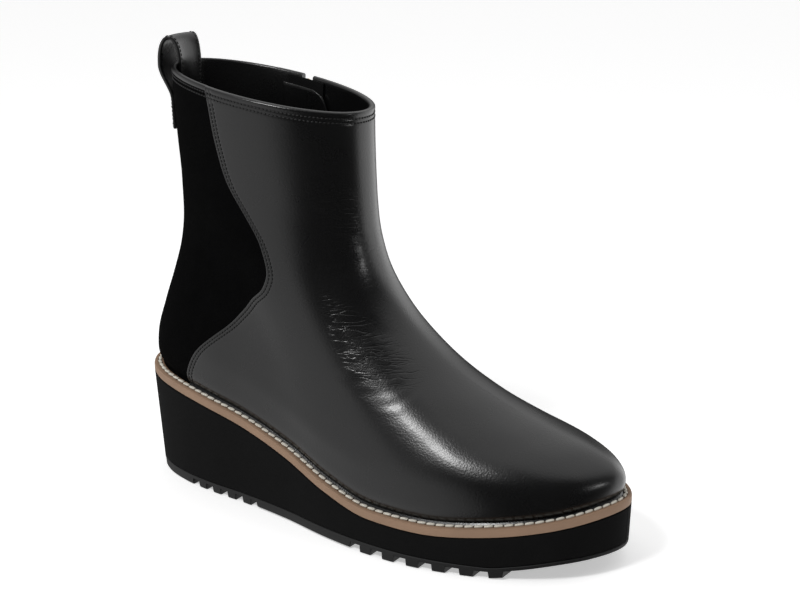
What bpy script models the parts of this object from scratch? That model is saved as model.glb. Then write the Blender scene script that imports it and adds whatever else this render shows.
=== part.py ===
"""Ankle boot for the right foot on a wedge sole, one object for each piece.

Metres, +Z up, the toe towards +X and the foot's outer side towards -Y.
The origin lies on the floor under the middle of the heel.
"""

import bisect
import math

import bmesh
import bpy
from mathutils import Vector

# Sole and foot
LENGTH = 0.268
BALL_WIDTH = 0.098
HEEL_WIDTH = 0.067
HEEL_REACH = 0.0485
HEEL_STACK = 0.0527
BALL_STACK = 0.0161
TOE_STACK = 0.0290
TOE_SIDE = 0.0045
GAP = 0.0003

# Welt, wedge and outsole
WELT_THICK = 0.0046
WELT_BREADTH = 0.0135
WELT_LEDGE = 0.0046
WELT_EDGE = 0.0006
HEEL_SLANT = 0.0040
BALL_FLARE = 0.0025
INNER_FLARE = 0.4
ARCH_LIFT = 0.0006
SOLE_THICK = 0.0052
SOLE_BEVEL = 0.0010
LUG_DEPTH = 0.0030
LUG_SLOPE = 0.0005
FRONT_PITCH = 0.0128
FRONT_GROOVE = 0.0060
FRONT_FROM = 0.1090
FRONT_LUGS = 6
HEEL_PITCH = 0.0104
HEEL_GROOVE = 0.0046
HEEL_LUGS = 4
TOE_LIFT = 0.0062

# Upper
WALL = 0.0022
PANEL_STEP = 0.0008
PANEL_EDGE = 0.0006
RIM_ROLL = 0.0008
RIM_RISE = 0.0009
INSTEP_FULL = 0.0050
COLLAR_FRONT = 0.1955
COLLAR_BACK = 0.2105
SHAFT_WIDTH = 0.0650
SHAFT_LENGTH = 0.1080
SHAFT_SET = 0.0164
INSOLE_THICK = 0.0035
INSOLE_FIT = 0.0012

# Pull loop
LOOP_WIDTH = 0.0200
LOOP_THICK = 0.0018
LOOP_RISE = 0.0130
LOOP_DROP = 0.0310
LOOP_TUCK = 0.0260
LOOP_STAND = 0.0040

# Zip on the inner side
ZIP_SLOT = 0.0064
ZIP_FIT = 0.0005
CHAIN_THICK = 0.0018
TAPE_WIDTH = 0.0220
TAPE_THICK = 0.0008
TAPE_TOP = 0.985
GUARD_BEHIND = 0.0130
GUARD_AHEAD = 0.0160
GUARD_THICK = 0.0010
GUARD_TOP = 0.975
GUARD_CORNER = 0.0120
SLIDER_WIDTH = 0.0086
SLIDER_LENGTH = 0.0110
SLIDER_THICK = 0.0014
BAIL_WIDTH = 0.0020
BAIL_BAR = 0.0011
BAIL_GAP = 0.0022
TAB_LENGTH = 0.0240
TAB_WIDTH = 0.0064
TAB_THICK = 0.0012
TAB_PLAY = 0.0004

# Welt outline: shares of the length, and of the width at that place
OUTLINE = (
    ("along", "outer", "inner"),
    (0.020, 0.195, 0.200),
    (0.060, 0.335, 0.345),
    (0.120, 0.437, 0.440),
    (0.200, 0.500, 0.483),
    (0.300, 0.488, 0.432),
    (0.400, 0.458, 0.360),
    (0.500, 0.467, 0.350),
    (0.600, 0.498, 0.393),
    (0.680, 0.507, 0.435),
    (0.750, 0.488, 0.452),
    (0.820, 0.444, 0.445),
    (0.880, 0.379, 0.400),
    (0.930, 0.294, 0.328),
    (0.970, 0.177, 0.212),
)

# Where the width passes from the heel's to the ball's
SPREAD = (0.20, 0.55)

# Welt's underside: shares of the heel's and of the toe's rise above the ball
STACK = (
    ("along", "heel", "toe"),
    (0.00, 1.000, 0.00),
    (0.15, 0.885, 0.00),
    (0.30, 0.665, 0.00),
    (0.40, 0.440, 0.00),
    (0.50, 0.175, 0.00),
    (0.60, 0.010, 0.00),
    (0.70, 0.000, 0.01),
    (0.82, 0.000, 0.27),
    (0.92, 0.000, 0.63),
    (1.00, 0.000, 1.00),
)

# Floor side of the outsole: share of the toe's lift
TOE_SPRING = (
    ("along", "lift"),
    (0.00, 0.00),
    (0.82, 0.00),
    (0.87, 0.28),
    (0.93, 0.72),
    (1.00, 1.00),
)

# Sole side at the floor: shares of the heel's slant inwards and of the ball's flare outwards
SLANT = (
    ("along", "heel", "flare"),
    (0.00, 1.00, 0.00),
    (0.08, 0.80, 0.00),
    (0.25, 0.40, 0.00),
    (0.40, 0.10, 0.30),
    (0.58, 0.00, 1.00),
    (0.70, 0.00, 0.80),
    (0.82, 0.00, 0.10),
    (0.90, 0.10, 0.00),
    (1.00, 0.25, 0.00),
)

# Front of the upper from toe to collar: back is a share of the way to the collar, up a share of
# the rise to it, and instep a share of the instep's fullness
FRONT = (
    ("rise", "back", "up", "instep"),
    (0.000, 0.000, 0.000, 0.00),
    (0.050, -0.006, 0.041, 0.00),
    (0.110, 0.020, 0.080, 0.00),
    (0.180, 0.105, 0.116, 0.05),
    (0.270, 0.258, 0.147, 0.20),
    (0.370, 0.445, 0.187, 0.50),
    (0.470, 0.640, 0.253, 0.85),
    (0.570, 0.822, 0.372, 1.00),
    (0.650, 0.924, 0.494, 0.75),
    (0.720, 0.967, 0.606, 0.40),
    (0.800, 0.985, 0.715, 0.15),
    (0.900, 0.994, 0.858, 0.00),
    (1.000, 1.000, 1.000, 0.00),
)

# Back of the upper from sole to collar: set is a share of the shaft's set, up of its rise
BACK = (
    ("rise", "set", "up"),
    (0.000, 0.000, 0.000),
    (0.050, -0.150, 0.045),
    (0.110, -0.110, 0.105),
    (0.220, 0.200, 0.210),
    (0.340, 0.630, 0.330),
    (0.450, 0.960, 0.440),
    (0.560, 1.110, 0.550),
    (0.660, 1.120, 0.655),
    (0.800, 1.040, 0.795),
    (0.900, 1.010, 0.900),
    (1.000, 1.000, 1.000),
)

# Sections: foot blends the sole's outline into the shaft's oval, outer and inner scale the two
# sides of the outline and girth scales the oval
SECTIONS = (
    ("rise", "foot", "outer", "inner", "girth", "sag"),
    (0.000, 1.000, 1.000, 1.000, 0.940, 1.000),
    (0.060, 0.990, 1.040, 1.020, 0.940, 0.950),
    (0.130, 0.960, 1.040, 0.980, 0.930, 0.860),
    (0.220, 0.900, 0.985, 0.880, 0.920, 0.700),
    (0.320, 0.800, 0.905, 0.780, 0.910, 0.500),
    (0.430, 0.640, 0.830, 0.740, 0.900, 0.300),
    (0.540, 0.430, 0.780, 0.740, 0.895, 0.130),
    (0.640, 0.240, 0.760, 0.740, 0.895, 0.030),
    (0.750, 0.100, 0.760, 0.740, 0.910, 0.000),
    (0.870, 0.020, 0.760, 0.740, 0.955, 0.000),
    (1.000, 0.000, 0.760, 0.740, 1.000, 0.000),
)
OVAL_POWER = 0.96

# Rear edge of the front leather, as shares of the half turn from back to toe
PANEL = (
    ("rise", "outer", "inner"),
    (0.000, 0.160, 0.140),
    (0.080, 0.172, 0.160),
    (0.150, 0.192, 0.178),
    (0.300, 0.270, 0.205),
    (0.400, 0.335, 0.220),
    (0.475, 0.400, 0.245),
    (0.540, 0.484, 0.275),
    (0.600, 0.540, 0.305),
    (0.650, 0.546, 0.328),
    (0.700, 0.508, 0.345),
    (0.760, 0.455, 0.358),
    (0.850, 0.420, 0.368),
    (1.000, 0.392, 0.375),
)

# Zip line, as shares of the half turn on the inner side
ZIP = (
    ("rise", "turn"),
    (0.100, 0.290),
    (0.200, 0.305),
    (0.300, 0.316),
    (0.400, 0.337),
    (0.500, 0.376),
    (0.600, 0.426),
    (0.700, 0.464),
    (0.800, 0.484),
    (0.900, 0.495),
    (1.000, 0.500),
)
ZIP_FROM = 0.120
CHAIN_FROM = 0.130
SLIDER_AT = 0.930

# Facets
UPPER_ROWS = 24
HEEL_COLUMNS = 9
TOE_COLUMNS = 18
SOLE_STATIONS = 34
LOOP_STEPS = 12

OUTER = -1
INNER = 1


def read(table, at):
    """Read every column of a table at one place, along a smooth curve through its rows."""
    rows = table[1:]
    places = [row[0] for row in rows]
    at = min(max(at, places[0]), places[-1])
    k = min(max(bisect.bisect_right(places, at) - 1, 0), len(rows) - 2)
    spans = [b - a for a, b in zip(places, places[1:])]
    t = (at - places[k]) / spans[k]
    values = []
    for c in range(1, len(rows[0])):
        rates = [(rows[i + 1][c] - rows[i][c]) / spans[i] for i in range(len(spans))]

        def slope(i):
            before, after = rates[max(i - 1, 0)], rates[min(i, len(rates) - 1)]
            if before * after <= 0:
                return 0.0
            wide, narrow = spans[max(i - 1, 0)], spans[min(i, len(rates) - 1)]
            rate = (before * narrow + after * wide) / (wide + narrow)
            most = 3 * min(abs(before), abs(after))
            return max(-most, min(most, rate))

        values.append(
            rows[k][c] * (2 * t**3 - 3 * t**2 + 1)
            + slope(k) * spans[k] * (t**3 - 2 * t**2 + t)
            + rows[k + 1][c] * (3 * t**2 - 2 * t**3)
            + slope(k + 1) * spans[k] * (t**3 - t**2)
        )
    return values


def mix(low, high, share):
    return low + (high - low) * share


def ease(share):
    share = min(max(share, 0.0), 1.0)
    return share * share * (3 - 2 * share)


def value_at(places, values, at):
    """Straight-line reading of a list of values at growing places."""
    k = min(max(bisect.bisect_right(places, at) - 1, 0), len(places) - 2)
    share = (at - places[k]) / max(places[k + 1] - places[k], 1e-12)
    return mix(values[k], values[k + 1], min(max(share, 0.0), 1.0))


def lengths(points):
    """Length run up to each point of a line."""
    run = [0.0]
    for a, b in zip(points, points[1:]):
        run.append(run[-1] + (b - a).length)
    return run


def foot_width(along):
    """Width that the outline's shares refer to at one place."""
    share = ease((along - SPREAD[0]) / (SPREAD[1] - SPREAD[0]))
    return mix(HEEL_WIDTH, BALL_WIDTH, share)


def welt_line():
    """Dense closed line of the welt's edge: heel back, outer side, toe, inner side."""
    rows = OUTLINE[1:]
    corners = [Vector((0.0, 0.0))]
    corners += [Vector((a * LENGTH, -o * foot_width(a))) for a, o, i in rows]
    corners += [Vector((LENGTH, TOE_SIDE))]
    corners += [Vector((a * LENGTH, i * foot_width(a))) for a, o, i in reversed(rows)]
    count = len(corners)
    dense = []
    for k in range(count):
        before, start, end, after = (corners[(k + n) % count] for n in (-1, 0, 1, 2))
        ha, hb, hc = ((q - p).length for p, q in ((before, start), (start, end), (end, after)))
        ra, rb, rc = (start - before) / ha, (end - start) / hb, (after - end) / hc
        ma = (ra * hb + rb * ha) / (ha + hb) * hb
        mb = (rb * hc + rc * hb) / (hb + hc) * hb
        for n in range(12):
            t = n / 12
            dense.append(
                start * (2 * t**3 - 3 * t**2 + 1)
                + ma * (t**3 - 2 * t**2 + t)
                + end * (3 * t**2 - 2 * t**3)
                + mb * (t**3 - t**2)
            )
    return dense


WELT_LINE = welt_line()


def edge_halves(inset):
    """Outer and inner half of the outline at one inset, each from heel back to toe tip."""
    count = len(WELT_LINE)
    moved = []
    for k, point in enumerate(WELT_LINE):
        run = WELT_LINE[(k + 1) % count] - WELT_LINE[k - 1]
        run.normalize()
        moved.append(point + Vector((-run.y, run.x)) * inset)
    tip = max(range(count), key=lambda k: moved[k].x)
    tail = min(range(-count // 4, count // 4), key=lambda k: moved[k].x)
    outer = [moved[k] for k in range(tail, tip + 1)]
    inner = [moved[k % count] for k in range(tip, tail + count + 1)]
    return outer, inner[::-1]


def ring(inset, shares, height):
    """Closed ring at one inset, with matched outer and inner points; height takes x."""
    outer, inner = edge_halves(inset)
    low, high = outer[0].x, outer[-1].x
    points = []
    for half, order in ((outer, shares), (inner, shares[-2:0:-1])):
        xs = [p.x for p in half]
        ys = [p.y for p in half]
        for share in order:
            x = mix(low, high, share)
            points.append(Vector((x - HEEL_REACH, value_at(xs, ys, x), height(x))))
    return points


def welt_under(x):
    """Height of the welt's underside; x runs from the heel back."""
    heel, toe = read(STACK, x / LENGTH)
    return BALL_STACK + heel * (HEEL_STACK - BALL_STACK) + toe * (TOE_STACK - BALL_STACK)


def welt_top(x):
    return welt_under(x) + WELT_THICK


def floor_side(x):
    """Height of the outsole's plain underside, between the lugs."""
    return LUG_DEPTH + read(TOE_SPRING, x / LENGTH)[0] * TOE_LIFT


def round_shares(count):
    """Places from 0 to 1, closer together at the two ends."""
    return [(1 - math.cos(math.pi * k / count)) / 2 for k in range(count + 1)]


def lug_spans():
    """Start and end of each lug, from the heel back."""
    spans = []
    for k in range(FRONT_LUGS):
        start = HEEL_REACH + FRONT_FROM + k * FRONT_PITCH
        spans.append((start, start + FRONT_PITCH - FRONT_GROOVE))
    middle = (HEEL_PITCH - HEEL_GROOVE) / 2
    for k in range(HEEL_LUGS):
        start = HEEL_REACH - middle + k * HEEL_PITCH
        spans.append((start, start + HEEL_PITCH - HEEL_GROOVE))
    first = HEEL_REACH - middle - HEEL_GROOVE
    spans.append((first - 3 * HEEL_PITCH, first))
    return sorted(spans)


def lug_share(x):
    """One on a lug, none between lugs."""
    best = 0.0
    for start, end in lug_spans():
        inside = min(x - start, end - x) / LUG_SLOPE
        best = max(best, min(max(inside, 0.0), 1.0))
    return best


def tread(x):
    """Height of the outsole's underside: lugs, and a plain arch just off the floor."""
    low = HEEL_REACH + HEEL_LUGS * HEEL_PITCH - (HEEL_PITCH - HEEL_GROOVE) / 2
    high = HEEL_REACH + FRONT_FROM - FRONT_GROOVE
    if low <= x <= high:
        return ARCH_LIFT
    return floor_side(x) - LUG_DEPTH * lug_share(x)


def solid(name, rings, colour, roughness, metallic=0.0, closed=False, capped=True):
    """Closed body lofted through rings of equal count, in the part's collection."""
    bm = bmesh.new()
    rows = [[bm.verts.new(p) for p in line] for line in rings]
    count = len(rows[0])
    pairs = list(zip(rows, rows[1:]))
    if closed:
        pairs.append((rows[-1], rows[0]))
    for low, high in pairs:
        for i in range(count):
            j = (i + 1) % count
            bm.faces.new((low[i], low[j], high[j], high[i]))
    if capped:
        half = count // 2
        for line in (rows[0], rows[-1]):
            for i in range(half):
                a, b = line[i], line[i + 1]
                c, d = line[(count - i - 1) % count], line[(count - i) % count]
                corners = [a, b] + [v for v in (c, d) if v not in (a, b)]
                bm.faces.new(corners)
    bmesh.ops.triangulate(bm, faces=bm.faces[:])
    bmesh.ops.recalc_face_normals(bm, faces=bm.faces[:])
    if bm.calc_volume(signed=True) < 0:
        bmesh.ops.reverse_faces(bm, faces=bm.faces[:])
    return finish(name, bm, colour, roughness, metallic)


def finish(name, bm, colour, roughness, metallic=0.0):
    """Turn a bmesh into a named object with its own material."""
    mesh = bpy.data.meshes.new(name)
    bm.to_mesh(mesh)
    bm.free()
    part = bpy.data.objects.new(name, mesh)
    PARTS.objects.link(part)
    material = bpy.data.materials.new(name)
    material.use_nodes = True
    shader = material.node_tree.nodes["Principled BSDF"]
    shader.inputs["Base Color"].default_value = (*colour, 1.0)
    shader.inputs["Roughness"].default_value = roughness
    shader.inputs["Metallic"].default_value = metallic
    mesh.materials.append(material)
    return part


FOOT_STEPS = 72


def foot_half(side):
    """Half of the upper's lower line, evenly spaced: share along its length, and y."""
    half = edge_halves(WELT_LEDGE)[0 if side == OUTER else 1]
    run = lengths(half)
    low, high = half[0].x, half[-1].x
    xs = [p.x for p in half]
    ys = [p.y for p in half]
    points = []
    for k in range(FOOT_STEPS + 1):
        at = run[-1] * k / FOOT_STEPS
        points.append(((value_at(run, xs, at) - low) / (high - low), value_at(run, ys, at)))
    return points, low, high


FOOT = {side: foot_half(side) for side in (OUTER, INNER)}
FEATHER_BACK = FOOT[OUTER][1]
FEATHER_TOE = FOOT[OUTER][2]
SHAFT_BACK = FEATHER_BACK + SHAFT_SET
SHAFT_FRONT = SHAFT_BACK + SHAFT_LENGTH
FEATHER_RISE = welt_top(FEATHER_TOE)
KNOWN_SECTIONS = {}


def section(rise, side):
    """One side of the upper's section at a rise: its ends, and its line with lengths."""
    key = (round(rise, 6), side)
    if key in KNOWN_SECTIONS:
        return KNOWN_SECTIONS[key]
    back, high, full = read(FRONT, rise)
    inwards, up = read(BACK, rise)
    foot, outer, inner, girth, sag = read(SECTIONS, rise)
    swell = outer if side == OUTER else inner
    x_back = FEATHER_BACK + inwards * SHAFT_SET
    x_front = mix(FEATHER_TOE, SHAFT_FRONT, back)
    heel = welt_top(FEATHER_BACK) + GAP
    toe = welt_top(FEATHER_TOE) + GAP
    z_back = mix(heel, COLLAR_BACK, up)
    z_front = mix(toe, COLLAR_FRONT, high) + full * INSTEP_FULL
    line = []
    for k, (along, y) in enumerate(FOOT[side][0]):
        turn = math.pi * k / FOOT_STEPS
        oval = side * max(math.sin(turn), 0.0) ** OVAL_POWER * SHAFT_WIDTH / 2
        share = mix((1 - math.cos(turn)) / 2, along, foot)
        line.append(Vector((mix(x_back, x_front, share), mix(oval * girth, y * swell, foot))))
    spread = (x_back, x_front, z_back, z_front, sag, heel, toe)
    KNOWN_SECTIONS[key] = (spread, line, lengths(line))
    return KNOWN_SECTIONS[key]


def bare(rise, turn, side):
    """Point of the upper's form, before any thickness."""
    if turn < 0:
        return bare(rise, -turn, -side)
    spread, line, run = section(rise, side)
    x_back, x_front, z_back, z_front, sag, heel, toe = spread
    at = turn * run[-1]
    x = value_at(run, [p.x for p in line], at)
    y = value_at(run, [p.y for p in line], at)
    share = (x - x_back) / (x_front - x_back)
    base = welt_top(mix(FEATHER_BACK, FEATHER_TOE, share)) + GAP
    z = mix(z_back, z_front, share) + sag * (base - mix(heel, toe, share))
    return Vector((x - HEEL_REACH, y, z))


def outwards(rise, turn, side):
    """Direction that points out of the upper."""
    step = 0.004
    low, high = max(rise - step, 0.0), min(rise + step, 1.0)
    if turn > 1 - step:
        before, after = bare(rise, 1 - step, side), bare(rise, 1 - step, -side)
    else:
        before, after = bare(rise, turn - step, side), bare(rise, turn + step, side)
    around = after - before
    upwards = bare(high, turn, side) - bare(low, turn, side)
    normal = around.cross(upwards) if side == OUTER else upwards.cross(around)
    return normal.normalized()


def skin(rise, turn, side, out=0.0):
    """Point on or off the upper's form, out being the distance outwards."""
    return bare(rise, turn, side) + outwards(rise, turn, side) * out


def columns(rise):
    """Turn, side and thickness of the outer face at each column round the upper."""
    outer, inner = read(PANEL, rise)
    step = PANEL_EDGE / section(rise, OUTER)[2][-1]
    made = []
    for side, edge in ((OUTER, outer), (INNER, inner)):
        half = []
        for k in range(HEEL_COLUMNS + 1):
            t = k / HEEL_COLUMNS
            half.append((edge * mix(t, t * t, 0.35), side, 0.0))
        for k in range(TOE_COLUMNS + 1):
            t = k / TOE_COLUMNS
            half.append((mix(edge + step, 1.0, mix(t, 1 - (1 - t) ** 2, 0.45)), side, PANEL_STEP))
        made.append(half)
    return made[0][:-1] + made[1][::-1][:-1]


def upper_rises():
    """Rises of the upper's rows, closer together at the sole and at the rim."""
    rises = [mix(t, t * t, 0.35) for t in (k / UPPER_ROWS for k in range(UPPER_ROWS + 1))]
    return rises[:-1] + [0.986, 1.0]


def build_upper():
    """Hollow upper, with the front leather as a step in its wall and a rolled rim."""
    outside, inside = [], []
    for rise in upper_rises():
        roll = RIM_ROLL * ease((rise - 0.95) / 0.03)
        outside.append([skin(rise, t, s, out + roll) for t, s, out in columns(rise)])
        inside.append([skin(rise, t, s, -WALL) for t, s, out in columns(rise)])
    for point in outside[0] + inside[0]:
        point.z = welt_top(point.x + HEEL_REACH) + GAP
    rim = []
    for a, b in zip(outside[-1], inside[-1]):
        rim.append((a + b) / 2 + Vector((0, 0, RIM_RISE)))
    rings = outside + [rim] + inside[::-1]
    return solid("upper", rings, (0.012, 0.012, 0.013), 0.35, closed=True, capped=False)


def sheet(name, grid, thick, colour, roughness, metallic=0.0):
    """Sheet of even thickness about a grid of points."""
    bm = bmesh.new()
    rows = [[bm.verts.new(p) for p in line] for line in grid]
    for a, b in zip(rows, rows[1:]):
        for k in range(len(a) - 1):
            bm.faces.new((a[k], a[k + 1], b[k + 1], b[k]))
    bmesh.ops.triangulate(bm, faces=bm.faces[:])
    part = finish(name, bm, colour, roughness, metallic)
    wall = part.modifiers.new("Thickness", "SOLIDIFY")
    wall.thickness = thick
    wall.offset = 0.0
    wall.use_even_offset = True
    return part


def strip(rises, edges, out, across=4):
    """Grid of points along the zip, at one distance out from the upper's form."""
    grid = []
    for rise in rises:
        low, high = edges(rise)
        spots = [mix(low, high, k / across) for k in range(across + 1)]
        grid.append([skin(rise, turn, INNER, out) for turn in spots])
    return grid


def zip_edges(behind, ahead):
    """Both edges of a strip, measured from the zip line towards the heel and the toe."""

    def edges(rise):
        middle = read(ZIP, rise)[0]
        girth = section(rise, INNER)[2][-1]
        return middle - behind / girth, middle + ahead / girth

    return edges


def spread_between(low, high, count):
    return [mix(low, high, k / count) for k in range(count + 1)]


def cut(part, cutter):
    """Take the cutter's shape out of a part."""
    PARTS.objects.unlink(cutter)
    CUTTERS.objects.link(cutter)
    cutter.hide_render = True
    cutter.display_type = "WIRE"
    taken = part.modifiers.new(cutter.name, "BOOLEAN")
    taken.operation = "DIFFERENCE"
    taken.object = cutter


def build_zip(upper):
    """Slot in the upper, and the zip's tape, chain, guard, slider and pull tab behind it."""
    slot = strip(spread_between(ZIP_FROM, 1.0, 16), zip_edges(ZIP_SLOT / 2, ZIP_SLOT / 2), 0.0, 2)
    slot.append([p + Vector((0, 0, RIM_RISE * 4)) for p in slot[-1]])
    cutter = sheet("zip_slot", slot, WALL * 4, (0.5, 0.5, 0.5), 0.5)
    cut(upper, cutter)

    tape_out = -WALL - GAP - TAPE_THICK / 2
    half = TAPE_WIDTH / 2
    rises = spread_between(ZIP_FROM - 0.02, TAPE_TOP, 15)
    sheet("zip_tape", strip(rises, zip_edges(half, half), tape_out), TAPE_THICK, (0.012, 0.012, 0.012), 0.9)

    chain_out = -WALL + CHAIN_THICK / 2
    half = ZIP_SLOT / 2 - ZIP_FIT
    rises = spread_between(CHAIN_FROM, TAPE_TOP, 15)
    grid = strip(rises, zip_edges(half, half), chain_out, 2)
    sheet("zip_chain", grid, CHAIN_THICK, (0.35, 0.27, 0.16), 0.35, 1.0)

    guard_out = tape_out - TAPE_THICK / 2 - GAP - GUARD_THICK / 2
    rows = []
    for rise in spread_between(ZIP_FROM - 0.03, GUARD_TOP, 18):
        drop = (GUARD_TOP - rise) * (COLLAR_FRONT - FEATHER_RISE)
        corner = min(drop, GUARD_CORNER)
        cutback = GUARD_CORNER - math.sqrt(GUARD_CORNER**2 - (GUARD_CORNER - corner) ** 2)
        edges = zip_edges(GUARD_BEHIND, GUARD_AHEAD - cutback * 0.85)
        rows += strip([rise], edges, guard_out, 6)
    sheet("zip_guard", rows, GUARD_THICK, (0.012, 0.012, 0.013), 0.5)

    seat = read(ZIP, SLIDER_AT)[0]
    origin = bare(SLIDER_AT, seat, INNER)
    out = outwards(SLIDER_AT, seat, INNER)
    up = (bare(SLIDER_AT + 0.02, seat, INNER) - bare(SLIDER_AT - 0.02, seat, INNER)).normalized()
    across = up.cross(out).normalized()
    build_slider(origin, across, out, up)
    build_tab(origin, across, out, up)


def prism(name, outline, low, high, axes, colour, roughness, metallic):
    """Outline in two axes, drawn out along the third between two places."""
    origin, first, second, third = axes
    rings = []
    for level in (low, high):
        rings.append([origin + first * a + second * b + third * level for a, b in outline])
    bm = bmesh.new()
    rows = [[bm.verts.new(p) for p in line] for line in rings]
    count = len(outline)
    for k in range(count):
        n = (k + 1) % count
        bm.faces.new((rows[0][k], rows[0][n], rows[1][n], rows[1][k]))
    bm.faces.new(rows[0])
    bm.faces.new(rows[1])
    bmesh.ops.recalc_face_normals(bm, faces=bm.faces[:])
    bmesh.ops.triangulate(bm, faces=bm.faces[:])
    return finish(name, bm, colour, roughness, metallic)


SLIDER_FOOT = CHAIN_THICK - WALL + GAP
SLIDER_SEAT = PANEL_STEP + GAP
SLIDER_FACE = SLIDER_SEAT + SLIDER_THICK
BAIL_LENGTH = SLIDER_LENGTH * 0.64
PIVOT_OUT = SLIDER_FACE + BAIL_GAP / 2
PIVOT_DOWN = BAIL_LENGTH / 2 - BAIL_BAR - TAB_THICK / 2 - TAB_PLAY


def build_slider(origin, across, out, up):
    """Slider: a neck in the slot, a plate over it and a bail on the plate."""
    neck = ZIP_SLOT / 2 - ZIP_FIT
    wide = SLIDER_WIDTH / 2
    body = (
        (-neck, SLIDER_FOOT),
        (neck, SLIDER_FOOT),
        (neck, SLIDER_SEAT),
        (wide, SLIDER_SEAT),
        (wide, SLIDER_FACE),
        (-wide, SLIDER_FACE),
        (-wide, SLIDER_SEAT),
        (-neck, SLIDER_SEAT),
    )
    gold = ((0.35, 0.27, 0.16), 0.3, 1.0)
    axes = (origin, across, out, up)
    slider = prism("zip_slider", body, -SLIDER_LENGTH / 2, SLIDER_LENGTH / 2, axes, *gold)
    half = BAIL_LENGTH / 2
    sunk = SLIDER_FACE - SLIDER_THICK / 2
    top = SLIDER_FACE + BAIL_GAP + BAIL_BAR
    arch = (
        (-half, sunk),
        (-half, top),
        (half, top),
        (half, sunk),
        (half - BAIL_BAR, sunk),
        (half - BAIL_BAR, SLIDER_FACE + BAIL_GAP),
        (BAIL_BAR - half, SLIDER_FACE + BAIL_GAP),
        (BAIL_BAR - half, sunk),
    )
    axes = (origin, up, out, across)
    bail = prism("zip_bail", arch, -BAIL_WIDTH / 2, BAIL_WIDTH / 2, axes, *gold)
    PARTS.objects.unlink(bail)
    CUTTERS.objects.link(bail)
    bail.hide_render = True
    bail.display_type = "WIRE"
    joined = slider.modifiers.new("Bail", "BOOLEAN")
    joined.operation = "UNION"
    joined.object = bail


def build_tab(origin, across, out, up):
    """Pull tab that hangs straight down from the slider's bail, its origin on the hinge."""
    pivot = origin + out * PIVOT_OUT - up * PIVOT_DOWN
    across = Vector((across.x, across.y, 0.0)).normalized()
    flat = Vector((-across.y, across.x, 0.0))
    bar = TAB_THICK / 2
    hole = BAIL_LENGTH - BAIL_BAR
    slot = BAIL_WIDTH / 2 + TAB_PLAY
    wide, narrow = TAB_WIDTH / 2, TAB_WIDTH * 0.38
    low = -TAB_LENGTH + bar
    rim = [(-wide, bar), (wide, bar), (wide, -hole), (narrow, low + narrow), (narrow * 0.6, low)]
    rim += [(-narrow * 0.6, low), (-narrow, low + narrow), (-wide, -hole)]
    inner = [(-slot, -bar), (slot, -bar), (slot, -hole * 0.5), (slot, -hole * 0.9), (slot * 0.5, -hole)]
    inner += [(-slot * 0.5, -hole), (-slot, -hole * 0.9), (-slot, -hole * 0.5)]
    rings = []
    for line, level in ((rim, bar), (rim, -bar), (inner, -bar), (inner, bar)):
        rings.append([across * a + Vector((0, 0, b)) + flat * level for a, b in line])
    tab = solid("zip_pull_tab", rings, (0.35, 0.27, 0.16), 0.3, 1.0, closed=True, capped=False)
    tab.location = pivot


def rise_at(height):
    """Rise at which the upper's back line stands at one height."""
    low, high = 0.0, 1.0
    for _ in range(40):
        middle = (low + high) / 2
        if bare(middle, 0.0, OUTER).z < height:
            low = middle
        else:
            high = middle
    return low


def build_loop():
    """Pull loop: a strap up the heel's back, over the rim and down inside."""
    across = 6
    rim = bare(1.0, 0.0, OUTER)
    half = LOOP_THICK / 2
    legs = []
    for k in range(LOOP_STEPS + 1):
        t = k / LOOP_STEPS
        drop = LOOP_DROP * (1 - t)
        free = ease((t - 0.45) / 0.55)
        legs.append((rise_at(rim.z - drop), GAP + half + LOOP_STAND * free, 0.0, free))
    inside = -(WALL + GAP + half)
    for k in range(1, LOOP_STEPS):
        turn = math.pi * k / LOOP_STEPS
        legs.append((1.0, mix(inside, LOOP_STAND + GAP + half, (1 + math.cos(turn)) / 2),
                     LOOP_RISE * math.sin(turn) ** 0.8, math.cos(turn / 2)))
    for k in range(LOOP_STEPS + 1):
        t = k / LOOP_STEPS
        legs.append((rise_at(rim.z - LOOP_TUCK * t), inside, 0.0, 0.0))
    grid = []
    for rise, out, lift, free in legs:
        girth = section(rise, OUTER)[2][-1]
        line = []
        for n in range(across + 1):
            y = LOOP_WIDTH * (n / across - 0.5)
            side = OUTER if y < 0 else INNER
            point = skin(rise, abs(y) / girth, side, out)
            middle = skin(rise, 0.0, OUTER, out)
            point.x = mix(point.x, middle.x, 0.9 * free)
            line.append(point + Vector((0, 0, lift)))
        grid.append(line)
    sheet("pull_loop", grid, LOOP_THICK, (0.012, 0.012, 0.013), 0.45)


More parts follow.
